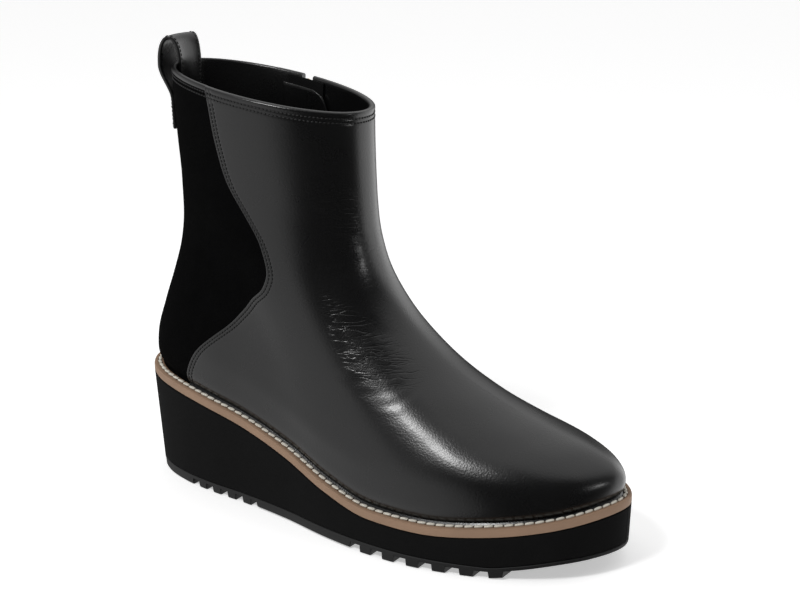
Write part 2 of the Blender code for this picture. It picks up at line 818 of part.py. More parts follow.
def build_sole():
    """Outsole with its lugs, foam wedge, welt and insole."""
    plain = round_shares(SOLE_STATIONS)
    edge = edge_halves(0.0)[0]
    marked = set()
    span = edge[-1].x - edge[0].x
    low = HEEL_REACH + HEEL_LUGS * HEEL_PITCH - (HEEL_PITCH - HEEL_GROOVE) / 2
    high = HEEL_REACH + FRONT_FROM - FRONT_GROOVE
    for x in (low - LUG_SLOPE, low, high, high + LUG_SLOPE):
        marked.add((x - edge[0].x) / span)
    free = plain
    for start, end in lug_spans():
        for x in (start, start + LUG_SLOPE, end - LUG_SLOPE, end):
            marked.add((x - edge[0].x) / span)
        if end - start < FRONT_PITCH:
            free = [s for s in free if not start < edge[0].x + s * span < end]
    shares = sorted(free + list(marked))
    kept = [shares[0]]
    for share in shares[1:]:
        near = share - kept[-1] < 0.006
        if near and share not in marked and share < 1.0:
            continue
        if near and kept[-1] not in marked and kept[-1] > 0.0:
            kept.pop()
        kept.append(share)

    def outside(point):
        """Level direction out of the sole: sideways, and along it only at the two ends."""
        ahead = (point.x + HEEL_REACH) / LENGTH * 2 - 1
        aside = max(min(point.y / (HEEL_WIDTH / 2), 1.0), -1.0)
        return Vector((math.copysign(ahead**4, ahead), aside, 0.0)).normalized()

    def slanted(outline_rise, height):
        """Ring of the wedge's or outsole's side, slanting in towards the floor."""
        points = ring(0.0, kept, height)
        made = []
        for p in points:
            share = (p.x + HEEL_REACH) / LENGTH
            heel, flare = read(SLANT, share)
            flare *= 1.0 if p.y < 0 else INNER_FLARE
            inset = (HEEL_SLANT * heel - BALL_FLARE * flare) * outline_rise(share)
            made.append(p - outside(p) * inset)
        return made

    def sole_top(x):
        return floor_side(x) - LUG_DEPTH + SOLE_THICK

    def top_share(share):
        x = share * LENGTH
        return 1.0 - sole_top(x) / welt_under(x)

    bottom = slanted(lambda s: 1.0, tread)
    bevel = slanted(lambda s: 1.0, lambda x: tread(x) + SOLE_BEVEL)
    top = slanted(top_share, sole_top)
    tucked = [p - outside(p) * SOLE_BEVEL for p in bottom]
    solid("outsole", [tucked, bevel, top], (0.02, 0.02, 0.021), 0.6)

    under = slanted(top_share, lambda x: sole_top(x) + GAP)
    over = ring(0.0, kept, lambda x: welt_under(x) - GAP)
    seat = WELT_BREADTH + GAP
    recess = ring(seat, kept, lambda x: welt_under(x) - GAP)
    plateau = ring(seat, kept, lambda x: welt_top(x) - GAP)
    solid("wedge", [under, over, recess, plateau], (0.014, 0.014, 0.015), 0.75)

    rings = [
        ring(WELT_EDGE, plain, welt_under),
        ring(0.0, plain, lambda x: welt_under(x) + WELT_EDGE),
        ring(0.0, plain, lambda x: welt_top(x) - WELT_EDGE),
        ring(WELT_EDGE, plain, welt_top),
        ring(WELT_BREADTH, plain, welt_top),
        ring(WELT_BREADTH, plain, welt_under),
    ]
    solid("welt", rings, (0.45, 0.24, 0.13), 0.6, closed=True, capped=False)

    fit = WELT_LEDGE + WALL + INSOLE_FIT
    rings = [
        ring(fit, plain, lambda x: welt_top(x) + GAP),
        ring(fit, plain, lambda x: welt_top(x) + GAP + INSOLE_THICK),
    ]
    solid("insole", rings, (0.03, 0.03, 0.032), 0.8)


def clear():
    """Empty the scene of objects."""
    for part in list(bpy.data.objects):
        bpy.data.objects.remove(part)


clear()
PARTS = bpy.data.collections.new("Ankle boot")
CUTTERS = bpy.data.collections.new("Cutters")
for group in (PARTS, CUTTERS):
    bpy.context.scene.collection.children.link(group)
build_sole()
build_zip(build_upper())
build_loop()
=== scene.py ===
"""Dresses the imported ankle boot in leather, suede, a stitched welt, foam, rubber and brass.

Metres, +Z up, the toe towards +X and the foot's outer side towards -Y.
"""

import bisect
import math

import bmesh
import bpy
import numpy as np
from mathutils import Matrix, Vector, noise


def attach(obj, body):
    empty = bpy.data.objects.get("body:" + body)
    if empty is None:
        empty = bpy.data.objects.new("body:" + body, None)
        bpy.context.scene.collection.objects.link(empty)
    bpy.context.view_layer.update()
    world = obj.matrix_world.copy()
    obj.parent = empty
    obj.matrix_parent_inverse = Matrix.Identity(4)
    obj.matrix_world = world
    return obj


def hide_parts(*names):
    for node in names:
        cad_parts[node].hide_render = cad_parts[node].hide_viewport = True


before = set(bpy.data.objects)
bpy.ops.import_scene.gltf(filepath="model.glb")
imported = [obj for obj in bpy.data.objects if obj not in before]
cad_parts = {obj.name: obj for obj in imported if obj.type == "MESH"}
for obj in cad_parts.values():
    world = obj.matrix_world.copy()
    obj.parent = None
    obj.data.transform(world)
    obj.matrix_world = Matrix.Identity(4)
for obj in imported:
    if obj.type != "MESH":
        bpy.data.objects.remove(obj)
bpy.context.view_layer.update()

bl_info = {
    "name": "Ankle boot",
    "version": (1, 0, 0),
    "blender": (4, 5, 0),
    "location": "3D View > Sidebar > Boot",
    "description": "Builds a wedge ankle boot round its packed solids",
    "category": "Add Mesh",
}

OUTER = -1
INNER = 1

# Sole and foot
LENGTH = 0.268
BALL_WIDTH = 0.098
HEEL_WIDTH = 0.067
HEEL_REACH = 0.0485
HEEL_STACK = 0.0527
BALL_STACK = 0.0161
TOE_STACK = 0.0290
TOE_SIDE = 0.0045
GAP = 0.0003
WELT_THICK = 0.0046
WELT_BREADTH = 0.0135
WELT_LEDGE = 0.0046
HEEL_SLANT = 0.0040
BALL_FLARE = 0.0025
INNER_FLARE = 0.4
ARCH_LIFT = 0.0006
SOLE_THICK = 0.0052
LUG_DEPTH = 0.0030
LUG_SLOPE = 0.0005
FRONT_PITCH = 0.0128
FRONT_GROOVE = 0.0060
FRONT_FROM = 0.1090
FRONT_LUGS = 6
HEEL_PITCH = 0.0104
HEEL_GROOVE = 0.0046
HEEL_LUGS = 4
TOE_LIFT = 0.0062

# Upper, loop and zip
WALL = 0.0022
PANEL_STEP = 0.0008
PANEL_EDGE = 0.0006
RIM_ROLL = 0.0002
RIM_RISE = 0.0012
RIM_TALL = 0.0013
INSTEP_FULL = 0.0050
COLLAR_FRONT = 0.1955
COLLAR_BACK = 0.2105
SHAFT_WIDTH = 0.0650
SHAFT_LENGTH = 0.1080
SHAFT_SET = 0.0164
OVAL_POWER = 0.96
INSOLE_THICK = 0.0035
INSOLE_FIT = 0.0012
LOOP_WIDTH = 0.0200
LOOP_THICK = 0.0018
LOOP_RISE = 0.0130
LOOP_DROP = 0.0310
LOOP_TUCK = 0.0260
LOOP_STAND = 0.0040
ZIP_SLOT = 0.0064
ZIP_FROM = 0.120
CHAIN_FROM = 0.130
CHAIN_THICK = 0.0018
TAPE_WIDTH = 0.0220
TAPE_THICK = 0.0008
TAPE_TOP = 0.997
GUARD_BEHIND = 0.0130
GUARD_AHEAD = 0.0160
GUARD_THICK = 0.0010
GUARD_TOP = 0.975
GUARD_CORNER = 0.0120

# Grid of the upper's skin
SHAFT_ROWS = 172
RIM_ROWS = 20
RIM_FROM = 0.962
HEEL_COLUMNS = 30
TOE_COLUMNS = 112
SEAM_STEPS = (0.0, 0.0001, 0.0003, 0.0006, 0.0010, 0.0014, 0.0017, 0.0020, 0.0024, 0.0029, 0.0034,
              0.0037, 0.0040, 0.0045, 0.0055)
PANEL_ROWS = (0.0017, 0.0037)
RIM_SEAMS = (0.0021, 0.0041)
FACING_DEPTH = 0.020

# Welt outline: shares of the length, and of the width at that place
OUTLINE = (
    ("along", "outer", "inner"),
    (0.020, 0.195, 0.200),
    (0.060, 0.335, 0.345),
    (0.120, 0.437, 0.440),
    (0.200, 0.500, 0.483),
    (0.300, 0.488, 0.432),
    (0.400, 0.458, 0.360),
    (0.500, 0.467, 0.350),
    (0.600, 0.498, 0.393),
    (0.680, 0.507, 0.435),
    (0.750, 0.488, 0.452),
    (0.820, 0.444, 0.445),
    (0.880, 0.379, 0.400),
    (0.930, 0.294, 0.328),
    (0.970, 0.177, 0.212),
)

# Where the width passes from the heel's to the ball's
SPREAD = (0.20, 0.55)

# Welt's underside: shares of the heel's and of the toe's rise above the ball
STACK = (
    ("along", "heel", "toe"),
    (0.00, 1.000, 0.00),
    (0.15, 0.885, 0.00),
    (0.30, 0.665, 0.00),
    (0.40, 0.440, 0.00),
    (0.50, 0.175, 0.00),
    (0.60, 0.010, 0.00),
    (0.70, 0.000, 0.01),
    (0.82, 0.000, 0.27),
    (0.92, 0.000, 0.63),
    (1.00, 0.000, 1.00),
)

# Floor side of the outsole: share of the toe's lift
TOE_SPRING = (
    ("along", "lift"),
    (0.00, 0.00),
    (0.82, 0.00),
    (0.87, 0.28),
    (0.93, 0.72),
    (1.00, 1.00),
)

# Sole side at the floor: shares of the heel's slant inwards and of the ball's flare outwards
SLANT = (
    ("along", "heel", "flare"),
    (0.00, 1.00, 0.00),
    (0.08, 0.80, 0.00),
    (0.25, 0.40, 0.00),
    (0.40, 0.10, 0.30),
    (0.58, 0.00, 1.00),
    (0.70, 0.00, 0.80),
    (0.82, 0.00, 0.10),
    (0.90, 0.10, 0.00),
    (1.00, 0.25, 0.00),
)

# Front of the upper from toe to collar: back is a share of the way to the collar, up a share of
# the rise to it, and instep a share of the instep's fullness
FRONT = (
    ("rise", "back", "up", "instep"),
    (0.000, 0.000, 0.000, 0.00),
    (0.050, -0.006, 0.041, 0.00),
    (0.110, 0.020, 0.080, 0.00),
    (0.180, 0.105, 0.116, 0.05),
    (0.270, 0.258, 0.147, 0.20),
    (0.370, 0.445, 0.187, 0.50),
    (0.470, 0.640, 0.253, 0.85),
    (0.570, 0.822, 0.372, 1.00),
    (0.650, 0.924, 0.494, 0.75),
    (0.720, 0.967, 0.606, 0.40),
    (0.800, 0.985, 0.715, 0.15),
    (0.900, 0.994, 0.858, 0.00),
    (1.000, 1.000, 1.000, 0.00),
)

# Back of the upper from sole to collar: set is a share of the shaft's set, up of its rise
BACK = (
    ("rise", "set", "up"),
    (0.000, 0.000, 0.000),
    (0.050, -0.150, 0.045),
    (0.110, -0.110, 0.105),
    (0.220, 0.200, 0.210),
    (0.340, 0.630, 0.330),
    (0.450, 0.960, 0.440),
    (0.560, 1.110, 0.550),
    (0.660, 1.120, 0.655),
    (0.800, 1.040, 0.795),
    (0.900, 1.010, 0.900),
    (1.000, 1.000, 1.000),
)

# Sections: foot blends the sole's outline into the shaft's oval, outer and inner scale the two
# sides of the outline and girth scales the oval
SECTIONS = (
    ("rise", "foot", "outer", "inner", "girth", "sag"),
    (0.000, 1.000, 1.000, 1.000, 0.940, 1.000),
    (0.060, 0.990, 1.040, 1.020, 0.940, 0.950),
    (0.130, 0.960, 1.040, 0.980, 0.930, 0.860),
    (0.220, 0.900, 0.985, 0.880, 0.920, 0.700),
    (0.320, 0.800, 0.905, 0.780, 0.910, 0.500),
    (0.430, 0.640, 0.830, 0.740, 0.900, 0.300),
    (0.540, 0.430, 0.780, 0.740, 0.895, 0.130),
    (0.640, 0.240, 0.760, 0.740, 0.895, 0.030),
    (0.750, 0.100, 0.760, 0.740, 0.910, 0.000),
    (0.870, 0.020, 0.760, 0.740, 0.955, 0.000),
    (1.000, 0.000, 0.760, 0.740, 1.000, 0.000),
)

# Rear edge of the front leather, as shares of the half turn from back to toe
PANEL = (
    ("rise", "outer", "inner"),
    (0.000, 0.160, 0.140),
    (0.080, 0.172, 0.160),
    (0.150, 0.192, 0.178),
    (0.300, 0.270, 0.205),
    (0.400, 0.335, 0.220),
    (0.475, 0.400, 0.245),
    (0.540, 0.484, 0.275),
    (0.600, 0.540, 0.305),
    (0.650, 0.546, 0.328),
    (0.700, 0.508, 0.345),
    (0.760, 0.455, 0.358),
    (0.850, 0.420, 0.368),
    (1.000, 0.392, 0.375),
)

# Zip line, as shares of the half turn on the inner side
ZIP = (
    ("rise", "turn"),
    (0.100, 0.290),
    (0.200, 0.305),
    (0.300, 0.316),
    (0.400, 0.337),
    (0.500, 0.376),
    (0.600, 0.426),
    (0.700, 0.464),
    (0.800, 0.484),
    (0.900, 0.495),
    (1.000, 0.500),
)


# Creases of the outer side, by length and height on the shoe: start, middle and end of each,
# half width and depth
CREASES = (
    ("x1", "z1", "x2", "z2", "x3", "z3", "width", "depth"),
    (0.0851, 0.1015, 0.0915, 0.1018, 0.0972, 0.1005, 0.0014, 0.00010),
    (0.0852, 0.0981, 0.0936, 0.0989, 0.1011, 0.0970, 0.0015, 0.00013),
    (0.0897, 0.0953, 0.0971, 0.0960, 0.1036, 0.0941, 0.0015, 0.00011),
    (0.0809, 0.0812, 0.0919, 0.0843, 0.1010, 0.0856, 0.0016, 0.00009),
    (0.0857, 0.0783, 0.0996, 0.0770, 0.1109, 0.0772, 0.0018, 0.00013),
    (0.0944, 0.0747, 0.1113, 0.0734, 0.1215, 0.0803, 0.0020, 0.00018),
    (0.1014, 0.0708, 0.1170, 0.0702, 0.1243, 0.0782, 0.0020, 0.00013),
    (0.0725, 0.1614, 0.0774, 0.1619, 0.0811, 0.1591, 0.0015, 0.00006),
    (0.0733, 0.1501, 0.0785, 0.1510, 0.0823, 0.1475, 0.0015, 0.00006),
    (0.0752, 0.1388, 0.0796, 0.1402, 0.0837, 0.1362, 0.0016, 0.00008),
    (0.0710, 0.1260, 0.0794, 0.1280, 0.0865, 0.1236, 0.0018, 0.00009),
    (0.0733, 0.1215, 0.0805, 0.1226, 0.0872, 0.1191, 0.0016, 0.00008),
)
CREASE_RIDGE = 0.35

# Soft panels in the studio: where they stand seen from the boot, their half angles and glow
DARK = 0.05
PANELS = (
    ("name", "x", "y", "z", "inner", "outer", "glow"),
    ("left", -0.80, -0.56, -0.25, 36.0, 64.0, 0.72),
    ("right", 0.50, 0.84, -0.20, 25.0, 48.0, 1.4),
    ("overhead", -0.10, 0.45, 0.90, 30.0, 60.0, 0.85),
)

# Lamps: where they hang, how far off, their width and height, and glow
LAMPS = (
    ("name", "x", "y", "z", "away", "wide", "tall", "glow"),
    ("key", -0.13, -0.60, 0.78, 1.2, 0.24, 0.24, 34.0),
    ("side", 0.97, 0.04, 0.28, 1.2, 0.14, 0.14, 10.0),
)


class BootSizes(bpy.types.PropertyGroup):
    """Sizes of the boot's threads and creases."""

    crease: bpy.props.FloatProperty(
        name="Creases", description="Depth of the creases, one being as worn", default=1.0)
    seam_pitch: bpy.props.FloatProperty(
        name="Seam pitch", description="From one black stitch to the next", default=0.0019, unit="LENGTH")
    seam_thread: bpy.props.FloatProperty(
        name="Seam thread", description="Thickness of the black thread", default=0.0008, unit="LENGTH")
    welt_pitch: bpy.props.FloatProperty(
        name="Welt pitch", description="From one welt stitch to the next", default=0.0046, unit="LENGTH")
    welt_thread: bpy.props.FloatProperty(
        name="Welt thread", description="Width of the welt's thread", default=0.0017, unit="LENGTH")
    tooth_pitch: bpy.props.FloatProperty(
        name="Tooth pitch", description="From one zip tooth to the next", default=0.0017, unit="LENGTH")
    floor: bpy.props.FloatProperty(
        name="Floor", description="Side of the floor", default=12.0, unit="LENGTH")


class BootColours(bpy.types.PropertyGroup):
    """Colours of the boot's materials."""

    leather: bpy.props.FloatVectorProperty(
        name="Leather", description="Front leather", default=(0.0032, 0.0032, 0.0034), subtype="COLOR")
    suede: bpy.props.FloatVectorProperty(
        name="Suede", description="Heel panel", default=(0.0018, 0.0018, 0.0019), subtype="COLOR")
    lining: bpy.props.FloatVectorProperty(
        name="Lining", description="Lining and insole", default=(0.005, 0.005, 0.0052), subtype="COLOR")
    welt: bpy.props.FloatVectorProperty(
        name="Welt", description="Welt leather", default=(0.285, 0.181, 0.117), subtype="COLOR")
    thread: bpy.props.FloatVectorProperty(
        name="Welt thread", description="Thread of the welt", default=(0.80, 0.76, 0.67), subtype="COLOR")
    foam: bpy.props.FloatVectorProperty(
        name="Foam", description="Wedge", default=(0.0045, 0.0045, 0.0046), subtype="COLOR")
    rubber: bpy.props.FloatVectorProperty(
        name="Rubber", description="Outsole", default=(0.008, 0.008, 0.0082), subtype="COLOR")
    brass: bpy.props.FloatVectorProperty(
        name="Brass", description="Zip metal", default=(0.75, 0.55, 0.28), subtype="COLOR")


def read(table, at):
    """Read every column of a table at one place, along a smooth curve through its rows."""
    rows = table[1:]
    places = [row[0] for row in rows]
    at = min(max(at, places[0]), places[-1])
    k = min(max(bisect.bisect_right(places, at) - 1, 0), len(rows) - 2)
    spans = [b - a for a, b in zip(places, places[1:])]
    t = (at - places[k]) / spans[k]
    values = []
    for c in range(1, len(rows[0])):
        rates = [(rows[i + 1][c] - rows[i][c]) / spans[i] for i in range(len(spans))]

        def slope(i):
            before, after = rates[max(i - 1, 0)], rates[min(i, len(rates) - 1)]
            if before * after <= 0:
                return 0.0
            wide, narrow = spans[max(i - 1, 0)], spans[min(i, len(rates) - 1)]
            rate = (before * narrow + after * wide) / (wide + narrow)
            most = 3 * min(abs(before), abs(after))
            return max(-most, min(most, rate))

        values.append(
            rows[k][c] * (2 * t**3 - 3 * t**2 + 1)
            + slope(k) * spans[k] * (t**3 - 2 * t**2 + t)
            + rows[k + 1][c] * (3 * t**2 - 2 * t**3)
            + slope(k + 1) * spans[k] * (t**3 - t**2)
        )
    return values


def mix(low, high, share):
    return low + (high - low) * share


def ease(share):
    share = np.clip(share, 0.0, 1.0)
    return share * share * (3 - 2 * share)


def bell(distance, width):
    return np.exp(-((distance / width) ** 2))


def lengths(points):
    """Length run up to each point of a line."""
    steps = np.linalg.norm(np.diff(points, axis=0), axis=1)
    return np.concatenate([[0.0], np.cumsum(steps)])


def along_line(line, places):
    """Points of a line at places along its length."""
    run = lengths(line)
    return np.stack([np.interp(places, run, line[:, k]) for k in range(line.shape[1])], axis=-1)


def unit(vectors):
    return vectors / np.maximum(np.linalg.norm(vectors, axis=-1, keepdims=True), 1e-12)


def foot_width(along):
    """Width that the outline's shares refer to at one place."""
    return mix(HEEL_WIDTH, BALL_WIDTH, ease((along - SPREAD[0]) / (SPREAD[1] - SPREAD[0])))


def welt_line():
    """Dense closed line of the welt's edge: heel back, outer side, toe, inner side."""
    rows = OUTLINE[1:]
    corners = [Vector((0.0, 0.0))]
    corners += [Vector((a * LENGTH, -o * foot_width(a))) for a, o, i in rows]
    corners += [Vector((LENGTH, TOE_SIDE))]
    corners += [Vector((a * LENGTH, i * foot_width(a))) for a, o, i in reversed(rows)]
    count = len(corners)
    dense = []
    for k in range(count):
        before, start, end, after = (corners[(k + n) % count] for n in (-1, 0, 1, 2))
        ha, hb, hc = ((q - p).length for p, q in ((before, start), (start, end), (end, after)))
        ra, rb, rc = (start - before) / ha, (end - start) / hb, (after - end) / hc
        ma = (ra * hb + rb * ha) / (ha + hb) * hb
        mb = (rb * hc + rc * hb) / (hb + hc) * hb
        for n in range(16):
            t = n / 16
            dense.append(
                start * (2 * t**3 - 3 * t**2 + 1)
                + ma * (t**3 - 2 * t**2 + t)
                + end * (3 * t**2 - 2 * t**3)
                + mb * (t**3 - t**2)
            )
    line = np.array([tuple(p) for p in dense])
    for _ in range(6):
        line = (np.roll(line, 1, axis=0) + 2 * line + np.roll(line, -1, axis=0)) / 4
    return line


WELT_LINE = welt_line()


def edge_line(inset):
    """Closed outline at one inset."""
    run = unit(np.roll(WELT_LINE, -1, axis=0) - np.roll(WELT_LINE, 1, axis=0))
    return WELT_LINE + np.stack([-run[:, 1], run[:, 0]], axis=-1) * inset


def edge_halves(inset):
    """Outer and inner half of the outline at one inset, each from heel back to toe tip."""
    moved = edge_line(inset)
    count = len(moved)
    tip = max(range(count), key=lambda k: moved[k][0])
    tail = min(range(-count // 4, count // 4), key=lambda k: moved[k][0])
    outer = moved[[k % count for k in range(tail, tip + 1)]]
    inner = moved[[k % count for k in range(tip, tail + count + 1)]]
    return outer, inner[::-1]


STATIONS = np.linspace(0.0, 1.0, 401)
STACK_LINE = np.array([read(STACK, s) for s in STATIONS])
SPRING_LINE = np.array([read(TOE_SPRING, s)[0] for s in STATIONS])
SLANT_LINE = np.array([read(SLANT, s) for s in STATIONS])


def welt_under(x):
    """Height of the welt's underside; x runs from the heel back."""
    heel = np.interp(x / LENGTH, STATIONS, STACK_LINE[:, 0])
    toe = np.interp(x / LENGTH, STATIONS, STACK_LINE[:, 1])
    return BALL_STACK + heel * (HEEL_STACK - BALL_STACK) + toe * (TOE_STACK - BALL_STACK)


def welt_top(x):
    return welt_under(x) + WELT_THICK


def floor_side(x):
    """Height of the outsole's plain underside, between the lugs."""
    return LUG_DEPTH + np.interp(x / LENGTH, STATIONS, SPRING_LINE) * TOE_LIFT


FOOT_STEPS = 260


def foot_half(side):
    """Half of the upper's lower line, evenly spaced: share along its length, and y."""
    half = edge_halves(WELT_LEDGE)[0 if side == OUTER else 1]
    low, high = half[0, 0], half[-1, 0]
    even = along_line(half, np.linspace(0.0, lengths(half)[-1], FOOT_STEPS + 1))
    return (even[:, 0] - low) / (high - low), even[:, 1], low, high


FOOT = {side: foot_half(side) for side in (OUTER, INNER)}
FEATHER_BACK = FOOT[OUTER][2]
FEATHER_TOE = FOOT[OUTER][3]
SHAFT_BACK = FEATHER_BACK + SHAFT_SET
SHAFT_FRONT = SHAFT_BACK + SHAFT_LENGTH


def section(rise, side):
    """One side of the upper's section at a rise: a line in 3D from heel back to toe."""
    back, high, full = read(FRONT, rise)
    inwards, up = read(BACK, rise)
    foot, outer, inner, girth, sag = read(SECTIONS, rise)
    swell = outer if side == OUTER else inner
    x_back = FEATHER_BACK + inwards * SHAFT_SET
    x_front = mix(FEATHER_TOE, SHAFT_FRONT, back)
    heel = welt_top(FEATHER_BACK) + GAP
    toe = welt_top(FEATHER_TOE) + GAP
    z_back = mix(heel, COLLAR_BACK, up)
    z_front = mix(toe, COLLAR_FRONT, high) + full * INSTEP_FULL
    along, across = FOOT[side][:2]
    turn = np.linspace(0.0, math.pi, FOOT_STEPS + 1)
    oval = side * np.maximum(np.sin(turn), 0.0) ** OVAL_POWER * SHAFT_WIDTH / 2
    share = mix((1 - np.cos(turn)) / 2, along, foot)
    x = mix(x_back, x_front, share)
    tip = across[-1] * (outer + inner) / 2
    meet = (tip - across[-1] * swell) * ease((turn / math.pi - 0.8) / 0.2)
    y = mix(oval * girth, across * swell + meet, foot)
    base = welt_top(mix(FEATHER_BACK, FEATHER_TOE, share)) + GAP
    z = mix(z_back, z_front, share) + sag * (base - mix(heel, toe, share))
    return np.stack([x - HEEL_REACH, y, z], axis=-1)


def points_at(rise, turns, side):
    """Points of the upper's form at one rise, for turns from the heel back to the toe."""
    line = section(rise, side)
    run = lengths(line[:, :2])
    places = np.asarray(turns) * run[-1]
    return np.stack([np.interp(places, run, line[:, k]) for k in range(3)], axis=-1)


def point_at(rise, turn, side):
    """One point of the upper's form; a turn below none lies on the other side."""
    if turn < 0:
        turn, side = -turn, -side
    return points_at(rise, [turn], side)[0]


def girth_at(rise, side):
    return lengths(section(rise, side)[:, :2])[-1]


def outwards(rise, turn, side):
    """Direction that points out of the upper."""
    step = 0.004
    around = point_at(rise, turn + step, side) - point_at(rise, turn - step, side)
    upwards = point_at(min(rise + step, 1.0), turn, side) - point_at(max(rise - step, 0.0), turn, side)
    return unit(np.cross(around, upwards) * -side)


def skin(rise, turn, side, out):
    return point_at(rise, turn, side) + outwards(rise, turn, side) * out


def add_nodes(tree, *rows):
    """Add nodes by row: name, kind, settings and inputs."""
    made = {}
    for name, kind, settings, inputs in rows:
        node = tree.nodes.new(kind)
        node.name = name
        for key, value in settings.items():
            setattr(node, key, value)
        for key, value in inputs.items():
            node.inputs[key].default_value = value
        made[name] = node
    return made


def group(name, sockets_in, sockets_out):
    """Node group with named inputs and outputs."""
    tree = bpy.data.node_groups.new(name, "ShaderNodeTree")
    for label, kind, value in sockets_in:
        socket = tree.interface.new_socket(name=label, in_out="INPUT", socket_type=kind)
        if value is not None:
            socket.default_value = value
    for label, kind in sockets_out:
        tree.interface.new_socket(name=label, in_out="OUTPUT", socket_type=kind)
    return tree, tree.nodes.new("NodeGroupInput"), tree.nodes.new("NodeGroupOutput")


def wrinkle_zone(tree, name, middle, reach, share):
    """Share of the wrinkles in one oval of the leather's own map, fading to its edge."""
    n = add_nodes(
        tree,
        (name + " from", "ShaderNodeVectorMath", {"operation": "SUBTRACT"}, {1: middle + (0.0,)}),
        (name + " scaled", "ShaderNodeVectorMath", {"operation": "DIVIDE"}, {1: reach + (1.0,)}),
        (name + " far", "ShaderNodeVectorMath", {"operation": "LENGTH"}, {}),
        (name + " share", "ShaderNodeMapRange", {"interpolation_type": "SMOOTHSTEP"},
         {"From Min": 1.0, "From Max": 0.25, "To Max": share}),
    )
    tree.links.new(n[name + " from"].outputs["Vector"], n[name + " scaled"].inputs[0])
    tree.links.new(n[name + " scaled"].outputs["Vector"], n[name + " far"].inputs[0])
    tree.links.new(n[name + " far"].outputs["Value"], n[name + " share"].inputs["Value"])
    return n[name + " from"].inputs[0], n[name + " share"].outputs["Result"]


def wrinkles(tree, depth):
    """Fine wrinkles across the ankle's bend, as lines between stretched patches."""
    n = add_nodes(
        tree,
        ("map", "ShaderNodeTexCoord", {}, {}),
        ("turn", "ShaderNodeVectorMath", {"operation": "ABSOLUTE"}, {}),
        ("around", "ShaderNodeSeparateXYZ", {}, {}),
        ("high", "ShaderNodeSeparateXYZ", {}, {}),
        ("spot", "ShaderNodeCombineXYZ", {}, {}),
        ("stretch", "ShaderNodeVectorMath", {"operation": "MULTIPLY"}, {1: (85.0, 520.0, 1.0)}),
        ("patches", "ShaderNodeTexNoise", {}, {"Scale": 1.0, "Detail": 1.0, "Distortion": 0.25}),
        ("level", "ShaderNodeMath", {"operation": "SUBTRACT"}, {1: 0.5}),
        ("apart", "ShaderNodeMath", {"operation": "ABSOLUTE"}, {}),
        ("line", "ShaderNodeMapRange", {"interpolation_type": "SMOOTHSTEP"}, {"From Max": 0.06}),
        ("zones", "ShaderNodeMath", {"operation": "ADD"}, {}),
        ("deep", "ShaderNodeMath", {"operation": "MULTIPLY"}, {}),
        ("wrinkles", "ShaderNodeMath", {"operation": "MULTIPLY"}, {}),
    )
    link = tree.links.new
    link(n["map"].outputs["UV"], n["turn"].inputs[0])
    link(n["turn"].outputs["Vector"], n["around"].inputs[0])
    link(n["map"].outputs["Object"], n["high"].inputs[0])
    link(n["around"].outputs["X"], n["spot"].inputs["X"])
    link(n["high"].outputs["Z"], n["spot"].inputs["Y"])
    link(n["spot"].outputs["Vector"], n["stretch"].inputs[0])
    link(n["stretch"].outputs["Vector"], n["patches"].inputs["Vector"])
    link(n["patches"].outputs["Fac"], n["level"].inputs[0])
    link(n["level"].outputs[0], n["apart"].inputs[0])
    link(n["apart"].outputs[0], n["line"].inputs["Value"])
    bend = wrinkle_zone(tree, "bend", (0.139, 0.088), (0.034, 0.028), 1.0)
    shaft = wrinkle_zone(tree, "shaft", (0.122, 0.168), (0.026, 0.040), 0.35)
    for k, (place, share) in enumerate((bend, shaft)):
        link(n["turn"].outputs["Vector"], place)
        link(share, n["zones"].inputs[k])
    link(n["zones"].outputs[0], n["deep"].inputs[0])
    link(depth, n["deep"].inputs[1])
    link(n["deep"].outputs[0], n["wrinkles"].inputs[0])
    link(n["line"].outputs["Result"], n["wrinkles"].inputs[1])
    return n["wrinkles"].outputs[0]


